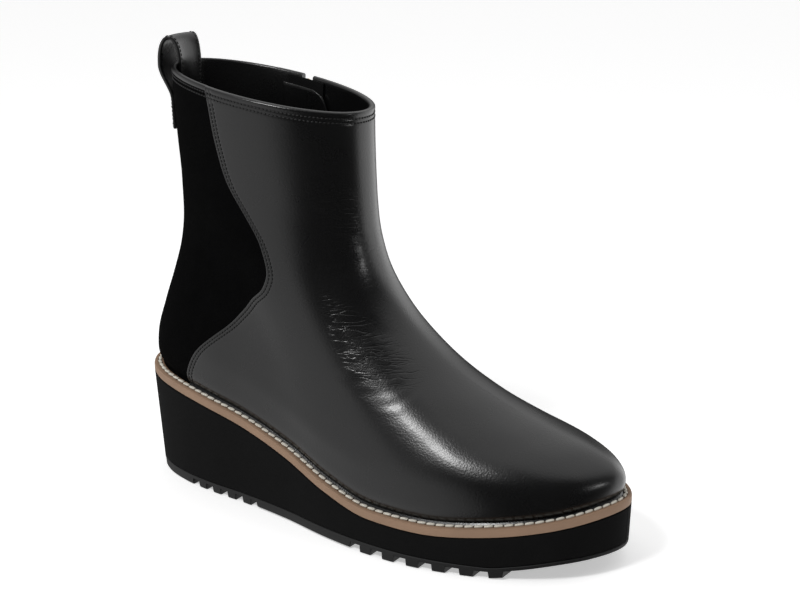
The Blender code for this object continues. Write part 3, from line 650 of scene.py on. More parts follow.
def grain_group():
    """Leather grain: small cells with soft dents between them, pores, and wrinkles at the bend."""
    tree, start, end = group(
        "Leather grain",
        (("Cells", "NodeSocketFloat", 900.0), ("Depth", "NodeSocketFloat", 0.00005),
         ("Wrinkles", "NodeSocketFloat", 0.0)),
        (("Height", "NodeSocketFloat"), ("Mottle", "NodeSocketFloat")),
    )
    n = add_nodes(
        tree,
        ("place", "ShaderNodeTexCoord", {}, {}),
        ("bend", "ShaderNodeTexNoise", {}, {"Scale": 260.0, "Detail": 2.0}),
        ("shift", "ShaderNodeVectorMath", {"operation": "MULTIPLY_ADD"}, {1: (0.0012,) * 3}),
        ("cells", "ShaderNodeTexVoronoi", {"feature": "SMOOTH_F1"}, {"Smoothness": 0.5}),
        ("fine", "ShaderNodeTexNoise", {}, {"Detail": 4.0}),
        ("finer", "ShaderNodeMath", {"operation": "MULTIPLY"}, {1: 2.3}),
        ("sum", "ShaderNodeMath", {"operation": "MULTIPLY_ADD"}, {1: 0.6}),
        ("height", "ShaderNodeMath", {"operation": "MULTIPLY"}, {}),
        ("mottle", "ShaderNodeTexNoise", {}, {"Scale": 45.0, "Detail": 3.0}),
        ("both", "ShaderNodeMath", {"operation": "ADD"}, {}),
    )
    link = tree.links.new
    link(wrinkles(tree, start.outputs["Wrinkles"]), n["both"].inputs[1])
    link(n["height"].outputs[0], n["both"].inputs[0])
    link(n["place"].outputs["Object"], n["bend"].inputs["Vector"])
    link(n["bend"].outputs["Color"], n["shift"].inputs[0])
    link(n["place"].outputs["Object"], n["shift"].inputs[2])
    link(n["shift"].outputs["Vector"], n["cells"].inputs["Vector"])
    link(start.outputs["Cells"], n["cells"].inputs["Scale"])
    link(start.outputs["Cells"], n["finer"].inputs[0])
    link(n["finer"].outputs[0], n["fine"].inputs["Scale"])
    link(n["place"].outputs["Object"], n["fine"].inputs["Vector"])
    link(n["fine"].outputs["Fac"], n["sum"].inputs[0])
    link(n["cells"].outputs["Distance"], n["sum"].inputs[2])
    link(n["sum"].outputs[0], n["height"].inputs[0])
    link(start.outputs["Depth"], n["height"].inputs[1])
    link(n["place"].outputs["Object"], n["mottle"].inputs["Vector"])
    link(n["both"].outputs[0], end.inputs["Height"])
    link(n["mottle"].outputs["Fac"], end.inputs["Mottle"])
    return tree


def nap_group():
    """Nap, foam and rubber: fine uneven speckle with soft patches."""
    tree, start, end = group(
        "Nap",
        (("Scale", "NodeSocketFloat", 2600.0), ("Depth", "NodeSocketFloat", 0.0001)),
        (("Height", "NodeSocketFloat"), ("Patches", "NodeSocketFloat")),
    )
    n = add_nodes(
        tree,
        ("place", "ShaderNodeTexCoord", {}, {}),
        ("hair", "ShaderNodeTexNoise", {}, {"Detail": 3.0, "Roughness": 0.7}),
        ("patch", "ShaderNodeTexNoise", {}, {"Scale": 70.0, "Detail": 4.0, "Roughness": 0.6}),
        ("height", "ShaderNodeMath", {"operation": "MULTIPLY"}, {}),
    )
    link = tree.links.new
    link(n["place"].outputs["Object"], n["hair"].inputs["Vector"])
    link(n["place"].outputs["Object"], n["patch"].inputs["Vector"])
    link(start.outputs["Scale"], n["hair"].inputs["Scale"])
    link(n["hair"].outputs["Fac"], n["height"].inputs[0])
    link(start.outputs["Depth"], n["height"].inputs[1])
    link(n["height"].outputs[0], end.inputs["Height"])
    link(n["patch"].outputs["Fac"], end.inputs["Patches"])
    return tree


def weave_group():
    """Plain weave on the piece's own map, in metres."""
    tree, start, end = group(
        "Weave",
        (("Threads", "NodeSocketFloat", 1500.0), ("Depth", "NodeSocketFloat", 0.0001)),
        (("Height", "NodeSocketFloat"), ("Mask", "NodeSocketFloat")),
    )
    n = add_nodes(
        tree,
        ("map", "ShaderNodeUVMap", {}, {}),
        ("split", "ShaderNodeSeparateXYZ", {}, {}),
        ("scale", "ShaderNodeVectorMath", {"operation": "SCALE"}, {}),
        ("warp", "ShaderNodeMath", {"operation": "SINE"}, {}),
        ("weft", "ShaderNodeMath", {"operation": "SINE"}, {}),
        ("both", "ShaderNodeMath", {"operation": "MULTIPLY"}, {}),
        ("mask", "ShaderNodeMath", {"operation": "MULTIPLY_ADD"}, {1: 0.5, 2: 0.5}),
        ("height", "ShaderNodeMath", {"operation": "MULTIPLY"}, {}),
    )
    link = tree.links.new
    link(n["map"].outputs["UV"], n["scale"].inputs[0])
    link(start.outputs["Threads"], n["scale"].inputs["Scale"])
    link(n["scale"].outputs["Vector"], n["split"].inputs[0])
    link(n["split"].outputs["X"], n["warp"].inputs[0])
    link(n["split"].outputs["Y"], n["weft"].inputs[0])
    link(n["warp"].outputs[0], n["both"].inputs[0])
    link(n["weft"].outputs[0], n["both"].inputs[1])
    link(n["both"].outputs[0], n["mask"].inputs[0])
    link(n["mask"].outputs[0], n["height"].inputs[0])
    link(start.outputs["Depth"], n["height"].inputs[1])
    link(n["height"].outputs[0], end.inputs["Height"])
    link(n["mask"].outputs[0], end.inputs["Mask"])
    return tree


def surface(name, effect, values, colour, roughness, spread=0.0, shade=0.0, flat=(), bump=1.0):
    """Material with one effect: colour and roughness vary with it, and flat sockets are set."""
    made = bpy.data.materials.get(name)
    if made:
        return made
    made = bpy.data.materials.new(name)
    made.use_nodes = True
    tree = made.node_tree
    shader = tree.nodes["Principled BSDF"]
    for socket, value in flat:
        shader.inputs[socket].default_value = value
    node = tree.nodes.new("ShaderNodeGroup")
    builders = {"Leather grain": grain_group, "Nap": nap_group, "Weave": weave_group}
    node.node_tree = bpy.data.node_groups.get(effect) or builders[effect]()
    for socket, value in values:
        node.inputs[socket].default_value = value
    n = add_nodes(
        tree,
        ("tone", "ShaderNodeMix", {"data_type": "RGBA"}, {}),
        ("rough", "ShaderNodeMath", {"operation": "MULTIPLY_ADD"}, {1: spread, 2: roughness - spread / 2}),
        ("bump", "ShaderNodeBump", {}, {"Distance": 1.0, "Strength": bump}),
    )
    low = tuple(c * (1 - shade) for c in colour) + (1.0,)
    high = tuple(min(c * (1 + shade), 1.0) for c in colour) + (1.0,)
    n["tone"].inputs["A"].default_value = low
    n["tone"].inputs["B"].default_value = high
    link = tree.links.new
    link(node.outputs[1], n["tone"].inputs["Factor"])
    link(n["tone"].outputs["Result"], shader.inputs["Base Color"])
    link(node.outputs[1], n["rough"].inputs[0])
    link(n["rough"].outputs[0], shader.inputs["Roughness"])
    link(node.outputs["Height"], n["bump"].inputs["Height"])
    link(n["bump"].outputs["Normal"], shader.inputs["Normal"])
    return made


def leather(colours):
    return surface("Smooth leather", "Leather grain", (("Cells", 1100.0), ("Depth", 0.00004), ("Wrinkles", 0.00016)), colours.leather,
                   0.28, 0.10, 0.2, (("Coat Weight", 0.20), ("Coat Roughness", 0.15)))


def suede(colours):
    return surface("Suede", "Nap", (("Scale", 2400.0), ("Depth", 0.00022)), colours.suede, 0.95, 0.05, 0.5,
                   (("Specular IOR Level", 0.03),))


def cloth(colours):
    return surface("Lining cloth", "Weave", (("Threads", 5200.0), ("Depth", 0.00012)), colours.lining, 0.92, 0.05,
                   0.35, (("Sheen Weight", 0.03), ("Specular IOR Level", 0.12)))


def tan_leather(colours):
    return surface("Welt leather", "Leather grain", (("Cells", 700.0), ("Depth", 0.00004)), colours.welt, 0.62, 0.1,
                   0.16, (("Specular IOR Level", 0.35),))


def cream_thread(colours):
    return surface("Welt thread", "Weave", (("Threads", 6000.0), ("Depth", 0.00012)), colours.thread, 0.8, 0.1, 0.12,
                   (("Specular IOR Level", 0.3),))


def black_thread(colours):
    return surface("Black thread", "Weave", (("Threads", 9000.0), ("Depth", 0.00005)), colours.leather, 0.55, 0.1,
                   0.3)


def foam(colours):
    return surface("Foam", "Nap", (("Scale", 1500.0), ("Depth", 0.00010)), colours.foam, 0.85, 0.08, 0.25,
                   (("Specular IOR Level", 0.12),))


def rubber(colours):
    return surface("Rubber", "Nap", (("Scale", 900.0), ("Depth", 0.00006)), colours.rubber, 0.68, 0.1, 0.2)


def brass(colours):
    return surface("Brass", "Nap", (("Scale", 700.0), ("Depth", 0.00001)), colours.brass, 0.28, 0.12, 0.08,
                   (("Metallic", 1.0),))


def loft(name, points, around=False, closed=False, maps=None, slots=None):
    """Grid of rows of points as a mesh; around joins each row's ends, closed the first and last row."""
    if around:
        points = np.concatenate([points, points[:, :1]], axis=1)
        maps = None if maps is None else np.concatenate([maps, maps[:, :1] + maps[:, -1:] * 0], axis=1)
    if closed:
        points = np.concatenate([points, points[:1]])
        maps = None if maps is None else np.concatenate([maps, maps[:1]])
    high, wide = points.shape[:2]
    if maps is None:
        across = np.concatenate([[[0.0]] * high, np.cumsum(
            np.linalg.norm(np.diff(points, axis=1), axis=-1), axis=1)], axis=1)
        upwards = np.concatenate([np.zeros((1, wide)), np.cumsum(
            np.linalg.norm(np.diff(points, axis=0), axis=-1), axis=0)])
        maps = np.stack([across, upwards], axis=-1)
    bm = bmesh.new()
    bmesh.ops.create_grid(bm, x_segments=wide - 1, y_segments=high - 1, size=0.5)
    spots = []
    for vert in bm.verts:
        i = round((vert.co.x + 0.5) * (wide - 1))
        j = round((vert.co.y + 0.5) * (high - 1))
        spots.append((j, i))
    layer = bm.loops.layers.uv.new("UVMap")
    for face in bm.faces:
        for corner in face.loops:
            corner[layer].uv = maps[spots[corner.vert.index]]
        if slots is not None:
            j = min(spots[v.index][0] for v in face.verts)
            i = min(spots[v.index][1] for v in face.verts)
            face.material_index = int(slots[j, i])
    for vert in bm.verts:
        vert.co = points[spots[vert.index]]
    bmesh.ops.remove_doubles(bm, verts=bm.verts[:], dist=1e-6)
    return bm


def piece(name, bm, materials, body="boot", stands_for=(), angle=40.0):
    """Finished piece from a bmesh: smooth, with its sharp edges marked, riding on its body."""
    bmesh.ops.recalc_face_normals(bm, faces=bm.faces[:])
    if bm.calc_volume(signed=True) < 0:
        bmesh.ops.reverse_faces(bm, faces=bm.faces[:])
    for face in bm.faces:
        face.smooth = True
    for edge in bm.edges:
        edge.smooth = len(edge.link_faces) != 2 or edge.calc_face_angle(0.0) < math.radians(angle)
    mesh = bpy.data.meshes.new(name)
    bm.to_mesh(mesh)
    bm.free()
    made = bpy.data.objects.new(name, mesh)
    bpy.context.scene.collection.objects.link(made)
    for material in materials:
        mesh.materials.append(material)
    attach(made, body)
    if stands_for:
        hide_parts(*stands_for)
    return made


class Skin:
    """The upper's own grid: bare points, directions out, and lengths along and up."""

    def __init__(self):
        rises = np.concatenate([
            np.linspace(0.0, RIM_FROM, SHAFT_ROWS + 1)[:-1],
            np.linspace(RIM_FROM, 1.0, RIM_ROWS + 1),
        ])
        steps = np.array(SEAM_STEPS)
        heel = np.arange(HEEL_COLUMNS) / HEEL_COLUMNS
        toe = np.arange(1, TOE_COLUMNS + 1) / TOE_COLUMNS
        toe = mix(toe, 1 - (1 - toe) ** 2, 0.35)
        rows, turns = [], []
        for rise in rises:
            edges = read(PANEL, rise)
            row, turned = [], []
            for side, edge in zip((OUTER, INNER), edges):
                girth = girth_at(rise, side)
                near = edge + steps / girth
                turn = np.concatenate([heel * (edge - 0.0006 / girth), near, mix(near[-1], 1.0, toe)])
                row.append(points_at(rise, turn, side))
                turned.append(turn * girth * side)
            rows.append(np.concatenate([row[0], row[1][-2:0:-1]]))
            turns.append(np.concatenate([turned[0], turned[1][-2:0:-1]]))
        bare = np.array(rows)
        for _ in range(8):
            bare[1:-1] = (bare[:-2] + 2 * bare[1:-1] + bare[2:]) / 4
        around = np.roll(bare, -1, axis=1) - np.roll(bare, 1, axis=1)
        upwards = np.gradient(bare, axis=0)
        self.out = unit(np.cross(around, upwards))
        middle = bare.mean(axis=1, keepdims=True)
        if ((bare - middle) * self.out).sum() < 0:
            self.out = -self.out
        self.bare = bare
        self.rises = rises
        half = HEEL_COLUMNS + len(steps) + TOE_COLUMNS
        offset = np.concatenate([np.full(HEEL_COLUMNS, -1.0), steps, np.full(TOE_COLUMNS, 1.0)])
        self.offset = np.concatenate([offset, offset[-2:0:-1]])
        self.outer_edge = HEEL_COLUMNS
        self.inner_edge = len(self.offset) - HEEL_COLUMNS
        self.toe = half - 1
        tall = np.linalg.norm(np.diff(bare, axis=0), axis=-1)
        self.height = np.concatenate([np.zeros((1, bare.shape[1])), np.cumsum(tall, axis=0)])
        self.drop = self.height[-1:] - self.height
        self.around = np.array(turns)

    def column_at(self, side, offset):
        """Column on one side at one of the seam steps."""
        step = SEAM_STEPS.index(offset)
        if side == OUTER:
            return HEEL_COLUMNS + step
        return len(self.offset) + 1 - HEEL_COLUMNS - step - 1

    def creases(self, share):
        """Soft troughs with a ridge on either side, bent through three points and fading at the ends."""
        out = np.zeros(self.height.shape)
        run = np.linspace(0.0, 1.0, 25)
        outer = ease((-self.around - 0.02) / 0.03)
        for k, (x1, z1, x2, z2, x3, z3, width, depth) in enumerate(CREASES[1:]):
            mid_x, mid_z = 2 * x2 - (x1 + x3) / 2, 2 * z2 - (z1 + z3) / 2
            x = (1 - run) ** 2 * x1 + 2 * run * (1 - run) * mid_x + run ** 2 * x3
            z = (1 - run) ** 2 * z1 + 2 * run * (1 - run) * mid_z + run ** 2 * z3
            z = z + 0.0004 * np.sin(9 * run + 2.1 * k)
            near = np.hypot(self.bare[..., 0, None] - x, self.bare[..., 2, None] - z)
            at = near.argmin(axis=-1)
            near = near.min(axis=-1)
            fade = np.sin(math.pi * np.clip(run[at], 0.02, 0.98)) ** 0.6
            trough = np.exp(-(near / width) ** 2)
            ridge = np.exp(-((near - 2.0 * width) / (0.8 * width)) ** 2)
            out += outer * depth * fade * (CREASE_RIDGE * ridge - trough)
        return out * share

    def shaped(self, crease):
        """The skin with its panel step, seam channels, rim, tuck and creases."""
        flat = np.clip(self.offset, 0.0, PANEL_EDGE) / PANEL_EDGE
        step = np.where(self.offset >= 0, PANEL_STEP * np.sqrt(1 - (1 - flat) ** 2), 0.0)
        out = np.tile(step, (len(self.rises), 1))
        near = np.abs(self.offset) < 0.9
        for line in PANEL_ROWS:
            out[:, near] -= 0.00022 * bell(self.offset[near] - line, 0.0005)
        for line in RIM_SEAMS:
            out -= 0.00020 * bell(self.drop - line, 0.0006)
        out += RIM_ROLL * ease((RIM_TALL - self.drop) / 0.0009)
        out -= 0.0011 * bell(self.height, 0.0028)
        out[0] = step
        flow = np.array([[noise.noise(Vector(p) * 38.0) for p in line] for line in self.bare[::4, ::4]])
        rows = np.arange(out.shape[0]) / 4
        cols = np.arange(out.shape[1]) / 4
        flow = np.array([np.interp(cols, np.arange(flow.shape[1]), line) for line in flow])
        flow = np.array([np.interp(rows, np.arange(flow.shape[0]), line) for line in flow.T]).T
        out += 0.00022 * flow * ease(self.height / 0.01) * ease((self.drop - 0.002) / 0.008)
        return self.bare + self.out * (out + crease)[..., None]


SKIN = Skin()


class BOOT_OT_upper(bpy.types.Operator):
    """Build the hollow upper with its front leather, heel panel, rim and lining."""

    bl_idname = "boot.upper"
    bl_label = "Upper"

    def execute(self, context):
        colours = context.scene.boot_colours
        sizes = context.scene.boot_sizes
        outside = SKIN.shaped(SKIN.creases(sizes.crease))
        outside[0, :, 2] = welt_top(outside[0, :, 0] + HEEL_REACH) + GAP
        inner_rows = np.unique(np.concatenate([
            np.arange(0, SHAFT_ROWS - 8, 5), np.arange(SHAFT_ROWS - 8, len(SKIN.rises), 4), [len(SKIN.rises) - 1]]))
        inside = (SKIN.bare - SKIN.out * WALL)[inner_rows]
        inside[0, :, 2] = welt_top(inside[0, :, 0] + HEEL_REACH) + GAP
        middle = (outside[-1] + inside[-1]) / 2
        reach = (outside[-1] - inside[-1]) / 2
        rim = []
        for k in range(1, 10):
            turn = math.pi * k / 10
            rim.append(middle + reach * math.cos(turn) + np.array([0, 0, RIM_RISE]) * math.sin(turn))
        points = np.concatenate([outside, np.array(rim), inside[::-1]])
        high, wide = points.shape[:2]
        slots = np.zeros((high, wide), int)
        count = len(outside)
        slots[:count - 4, :HEEL_COLUMNS] = 1
        slots[:count - 4, SKIN.inner_edge:] = 1
        drop = SKIN.drop[inner_rows][::-1].mean(axis=1)
        below = count + len(rim) + int(np.searchsorted(drop, FACING_DEPTH))
        slots[below:] = 2
        maps = np.zeros((high, wide, 2))
        maps[:count, :, 0] = SKIN.around
        maps[:count, :, 1] = SKIN.height
        maps[count:, :, 0] = SKIN.around[-1]
        maps[count + len(rim):, :, 0] = SKIN.around[inner_rows][::-1]
        maps[count:, :, 1] = SKIN.height[-1]
        maps[count + len(rim):, :, 1] = SKIN.height[inner_rows][::-1]
        bm = loft("upper", points, True, True, maps, slots)
        made = piece("boot_upper", bm, (leather(colours), suede(colours), cloth(colours)), "boot",
                     ("upper",))
        self.cut_slot(made)
        return {"FINISHED"}

    def cut_slot(self, made):
        """Take the zip's slot out of the finished upper."""
        rises = np.linspace(ZIP_FROM, 1.0, 41)
        grid = []
        for rise in rises:
            middle = read(ZIP, rise)[0]
            half = ZIP_SLOT / 2 / girth_at(rise, INNER)
            loop = []
            for turn, out in ((middle - half, -2), (middle - half, 2), (middle + half, 2), (middle + half, -2)):
                loop.append(skin(rise, turn, INNER, out * WALL))
            grid.append(loop)
        top = np.array(grid[-1])
        top[:, 2] += 0.006
        grid.append(top)
        bm = loft("slot", np.array(grid), True)
        bmesh.ops.holes_fill(bm, edges=[e for e in bm.edges if e.is_boundary], sides=8)
        bmesh.ops.recalc_face_normals(bm, faces=bm.faces[:])
        mesh = bpy.data.meshes.new("zip_slot")
        bm.to_mesh(mesh)
        bm.free()
        cutter = bpy.data.objects.new("zip_slot", mesh)
        bpy.context.scene.collection.objects.link(cutter)
        cut = made.modifiers.new("Slot", "BOOLEAN")
        cut.operation = "DIFFERENCE"
        cut.object = cutter
        cut.solver = "EXACT"
        bpy.context.view_layer.update()
        cut_mesh = bpy.data.meshes.new_from_object(made.evaluated_get(bpy.context.evaluated_depsgraph_get()))
        made.modifiers.clear()
        made.data = cut_mesh
        bpy.data.objects.remove(cutter)


def template(wide, tall):
    """Corners and faces of one small stitch, a unit ball with few faces."""
    bm = bmesh.new()
    bmesh.ops.create_uvsphere(bm, u_segments=wide, v_segments=tall, radius=1.0)
    bmesh.ops.rotate(bm, verts=bm.verts[:], matrix=Matrix.Rotation(math.pi / 2, 3, "Y"))
    corners = np.array([tuple(v.co) for v in bm.verts])
    faces = [[v.index for v in f.verts] for f in bm.faces]
    bm.free()
    return corners, faces


def sew(name, lines, pitch, long, wide, thick, lift, material, slant=0.0, detail=(6, 5)):
    """Stitches along lines of points and normals, joined in one piece."""
    corners, faces = template(*detail)
    square = np.abs(corners) ** 0.7 * np.sign(corners)
    spots, joins, maps = [], [], []
    for points, normals, start in lines:
        total = lengths(points)[-1]
        count = int((total - start) / pitch)
        places = start + pitch * (np.arange(count) + 0.5)
        centre = along_line(points, places)
        ahead = unit(along_line(points, places + pitch / 4) - along_line(points, places - pitch / 4))
        run = lengths(points)
        normal = unit(np.stack([np.interp(places, run, normals[:, k]) for k in range(3)], axis=-1))
        aside = unit(np.cross(normal, ahead))
        normal = np.cross(ahead, aside)
        turned = unit(ahead + aside * slant)
        aside = np.cross(normal, turned)
        for c, t, b, n in zip(centre, turned, aside, normal):
            base = len(spots) * len(corners)
            local = square * (long / 2, wide / 2, thick / 2)
            spots.append(c + n * lift + local @ np.stack([t, b, n]))
            joins.extend([[base + k for k in face] for face in faces])
    mesh = bpy.data.meshes.new(name)
    mesh.from_pydata(np.concatenate(spots).tolist(), [], joins)
    layer = mesh.uv_layers.new(name="UVMap")
    flat = np.tile(square * (long / 2, wide / 2, thick / 2), (len(spots), 1))
    loops = np.zeros(len(mesh.loops), int)
    mesh.loops.foreach_get("vertex_index", loops)
    layer.data.foreach_set("uv", (flat[loops][:, :2] @ np.array([[1, 1], [1, -1]])).ravel())
    mesh.polygons.foreach_set("use_smooth", [True] * len(mesh.polygons))
    mesh.materials.append(material)
    made = bpy.data.objects.new(name, mesh)
    bpy.context.scene.collection.objects.link(made)
    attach(made, "boot")
    return made


class BOOT_OT_seams(bpy.types.Operator):
    """Sew the black seams along the front leather's edge and below the rim."""

    bl_idname = "boot.seams"
    bl_label = "Seams"

    def execute(self, context):
        colours = context.scene.boot_colours
        sizes = context.scene.boot_sizes
        grid = SKIN.shaped(SKIN.creases(sizes.crease))
        lines = []
        for side in (OUTER, INNER):
            for k, offset in enumerate(PANEL_ROWS):
                column = SKIN.column_at(side, offset)
                last = int(np.searchsorted(-SKIN.drop[:, column], -0.0056))
                lines.append((grid[3:last, column], SKIN.out[3:last, column], k * sizes.seam_pitch / 2))
        for k, drop in enumerate(RIM_SEAMS):
            path, normals = [], []
            for column in range(grid.shape[1]):
                depth = SKIN.drop[::-1, column]
                at = np.interp(drop, depth, np.arange(len(depth)))
                low = int(at)
                share = at - low
                rows = grid[::-1, column]
                path.append(mix(rows[low], rows[low + 1], share))
                normals.append(SKIN.out[::-1, column][low])
            path.append(path[0])
            normals.append(normals[0])
            lines.append((np.array(path), np.array(normals), k * sizes.seam_pitch / 2))
        thick = sizes.seam_thread
        sew("upper_seams", lines, sizes.seam_pitch, sizes.seam_pitch * 0.8, thick, thick * 0.8, thick * 0.1,
            black_thread(colours), 0.0)
        return {"FINISHED"}


def ring_profile(insets, heights):
    """Closed outline rings at pairs of inset and height, as rows of one grid."""
    rows = []
    for inset, height in zip(insets, heights):
        line = edge_line(inset)
        rows.append(np.stack([line[:, 0] - HEEL_REACH, line[:, 1], height(line[:, 0])], axis=-1))
    return np.array(rows)


class BOOT_OT_welt(bpy.types.Operator):
    """Build the tan welt and its thick cream stitches."""

    bl_idname = "boot.welt"
    bl_label = "Welt"

    def execute(self, context):
        colours = context.scene.boot_colours
        sizes = context.scene.boot_sizes
        soft = 0.0008
        steps = [
            (soft, lambda x: welt_under(x)),
            (soft * 0.3, lambda x: welt_under(x) + soft * 0.3),
            (0.0, lambda x: welt_under(x) + soft),
            (0.0, lambda x: welt_top(x) - soft * 1.6),
            (soft * 0.25, lambda x: welt_top(x) - soft * 0.6),
            (soft * 0.9, lambda x: welt_top(x) - soft * 0.12),
            (soft * 1.6, welt_top),
            (WELT_LEDGE * 0.40, welt_top),
            (WELT_LEDGE * 0.46, lambda x: welt_top(x) - 0.0005),
            (WELT_LEDGE * 0.82, lambda x: welt_top(x) - 0.0005),
            (WELT_LEDGE * 0.90, welt_top),
            (WELT_BREADTH, welt_top),
            (WELT_BREADTH, welt_under),
        ]
        points = ring_profile([s[0] for s in steps], [s[1] for s in steps])
        bm = loft("welt", points, True, True)
        piece("boot_welt", bm, (tan_leather(colours),), "boot", ("welt",), 30.0)
        line = edge_line(WELT_LEDGE * 0.64)
        path = np.stack([line[:, 0] - HEEL_REACH, line[:, 1], welt_top(line[:, 0]) - 0.0002], axis=-1)
        path = np.concatenate([path, path[:1]])
        normals = np.tile([0.0, 0.0, 1.0], (len(path), 1))
        total = lengths(path)[-1]
        pitch = total / round(total / sizes.welt_pitch)
        wide = sizes.welt_thread
        sew("welt_stitches", [(path, normals, 0.0)], pitch, pitch * 0.90, wide, wide * 0.75, wide * 0.2,
            cream_thread(colours), 0.14, (10, 8))
        return {"FINISHED"}


def lug_spans():
    """Start and end of each lug, from the heel back."""
    spans = []
    for k in range(FRONT_LUGS):
        start = HEEL_REACH + FRONT_FROM + k * FRONT_PITCH
        spans.append((start, start + FRONT_PITCH - FRONT_GROOVE))
    middle = (HEEL_PITCH - HEEL_GROOVE) / 2
    for k in range(HEEL_LUGS):
        start = HEEL_REACH - middle + k * HEEL_PITCH
        spans.append((start, start + HEEL_PITCH - HEEL_GROOVE))
    first = HEEL_REACH - middle - HEEL_GROOVE
    spans.append((first - 3 * HEEL_PITCH, first))
    return sorted(spans)


def arch_span():
    """Start and end of the plain arch between the lugs."""
    low = HEEL_REACH + HEEL_LUGS * HEEL_PITCH - (HEEL_PITCH - HEEL_GROOVE) / 2
    return low, HEEL_REACH + FRONT_FROM - FRONT_GROOVE


def tread(x):
    """Height of the outsole's underside: lugs, and a plain arch just off the floor."""
    share = np.zeros(np.shape(x))
    for start, end in lug_spans():
        share = np.maximum(share, np.clip(np.minimum(x - start, end - x) / LUG_SLOPE, 0.0, 1.0))
    low, high = arch_span()
    lug = floor_side(x) - LUG_DEPTH * share
    arch = np.clip(np.minimum(x - low, high - x) / LUG_SLOPE + 1, 0.0, 1.0)
    return np.where(arch > 0, mix(lug, ARCH_LIFT, arch), lug)


def outside(points):
    """Level direction out of the sole: sideways, and along it only at the two ends."""
    ahead = (points[..., 0] + HEEL_REACH) / LENGTH * 2 - 1
    aside = np.clip(points[..., 1] / (HEEL_WIDTH / 2), -1.0, 1.0)
    flat = np.stack([np.sign(ahead) * ahead**4, aside, np.zeros(ahead.shape)], axis=-1)
    return unit(flat)


def sole_top(x):
    return floor_side(x) - LUG_DEPTH + SOLE_THICK


def side_points(xs, height, sloped=True):
    """Outer and inner points of the sole's side at stations, slanting in towards the floor."""
    halves = []
    for half in edge_halves(0.0):
        y = np.interp(xs, half[:, 0], half[:, 1])
        z = height(xs)
        points = np.stack([xs - HEEL_REACH, y, z], axis=-1)
        share = xs / LENGTH
        heel = np.interp(share, STATIONS, SLANT_LINE[:, 0])
        flare = np.interp(share, STATIONS, SLANT_LINE[:, 1]) * (1.0 if half is None or y.mean() < 0 else INNER_FLARE)
        deep = 1.0 - np.clip(z / welt_under(xs), 0.0, 1.0) if sloped else 0.0
        inset = (HEEL_SLANT * heel - BALL_FLARE * flare) * deep
        halves.append(points - outside(points) * inset[:, None])
    return halves


def body_across(xs, levels, across=6):
    """Closed sections across the sole at stations, through side levels from top to bottom."""
    outer, inner = [], []
    for height, tuck in levels:
        left, right = side_points(xs, height)
        outer.append(left - outside(left) * tuck)
        inner.append(right - outside(right) * tuck)
    columns = list(outer)
    for k in range(1, across):
        columns.append(mix(outer[-1], inner[-1], k / across))
    columns += inner[::-1]
    for k in range(1, across):
        columns.append(mix(inner[0], outer[0], k / across))
    return np.stack(columns, axis=1)


def stations(count, marks=()):
    """Places along the sole, closer together at its two ends, with marks kept exactly."""
    half = edge_halves(0.0)[0]
    low, high = half[0, 0] + 1e-5, half[-1, 0] - 1e-5
    even = [mix(low, high, (1 - math.cos(math.pi * k / count)) / 2) for k in range(count + 1)]
    kept = [x for x in even if all(abs(x - m) > 0.0007 for m in marks)]
    return np.array(sorted(kept + list(marks)))


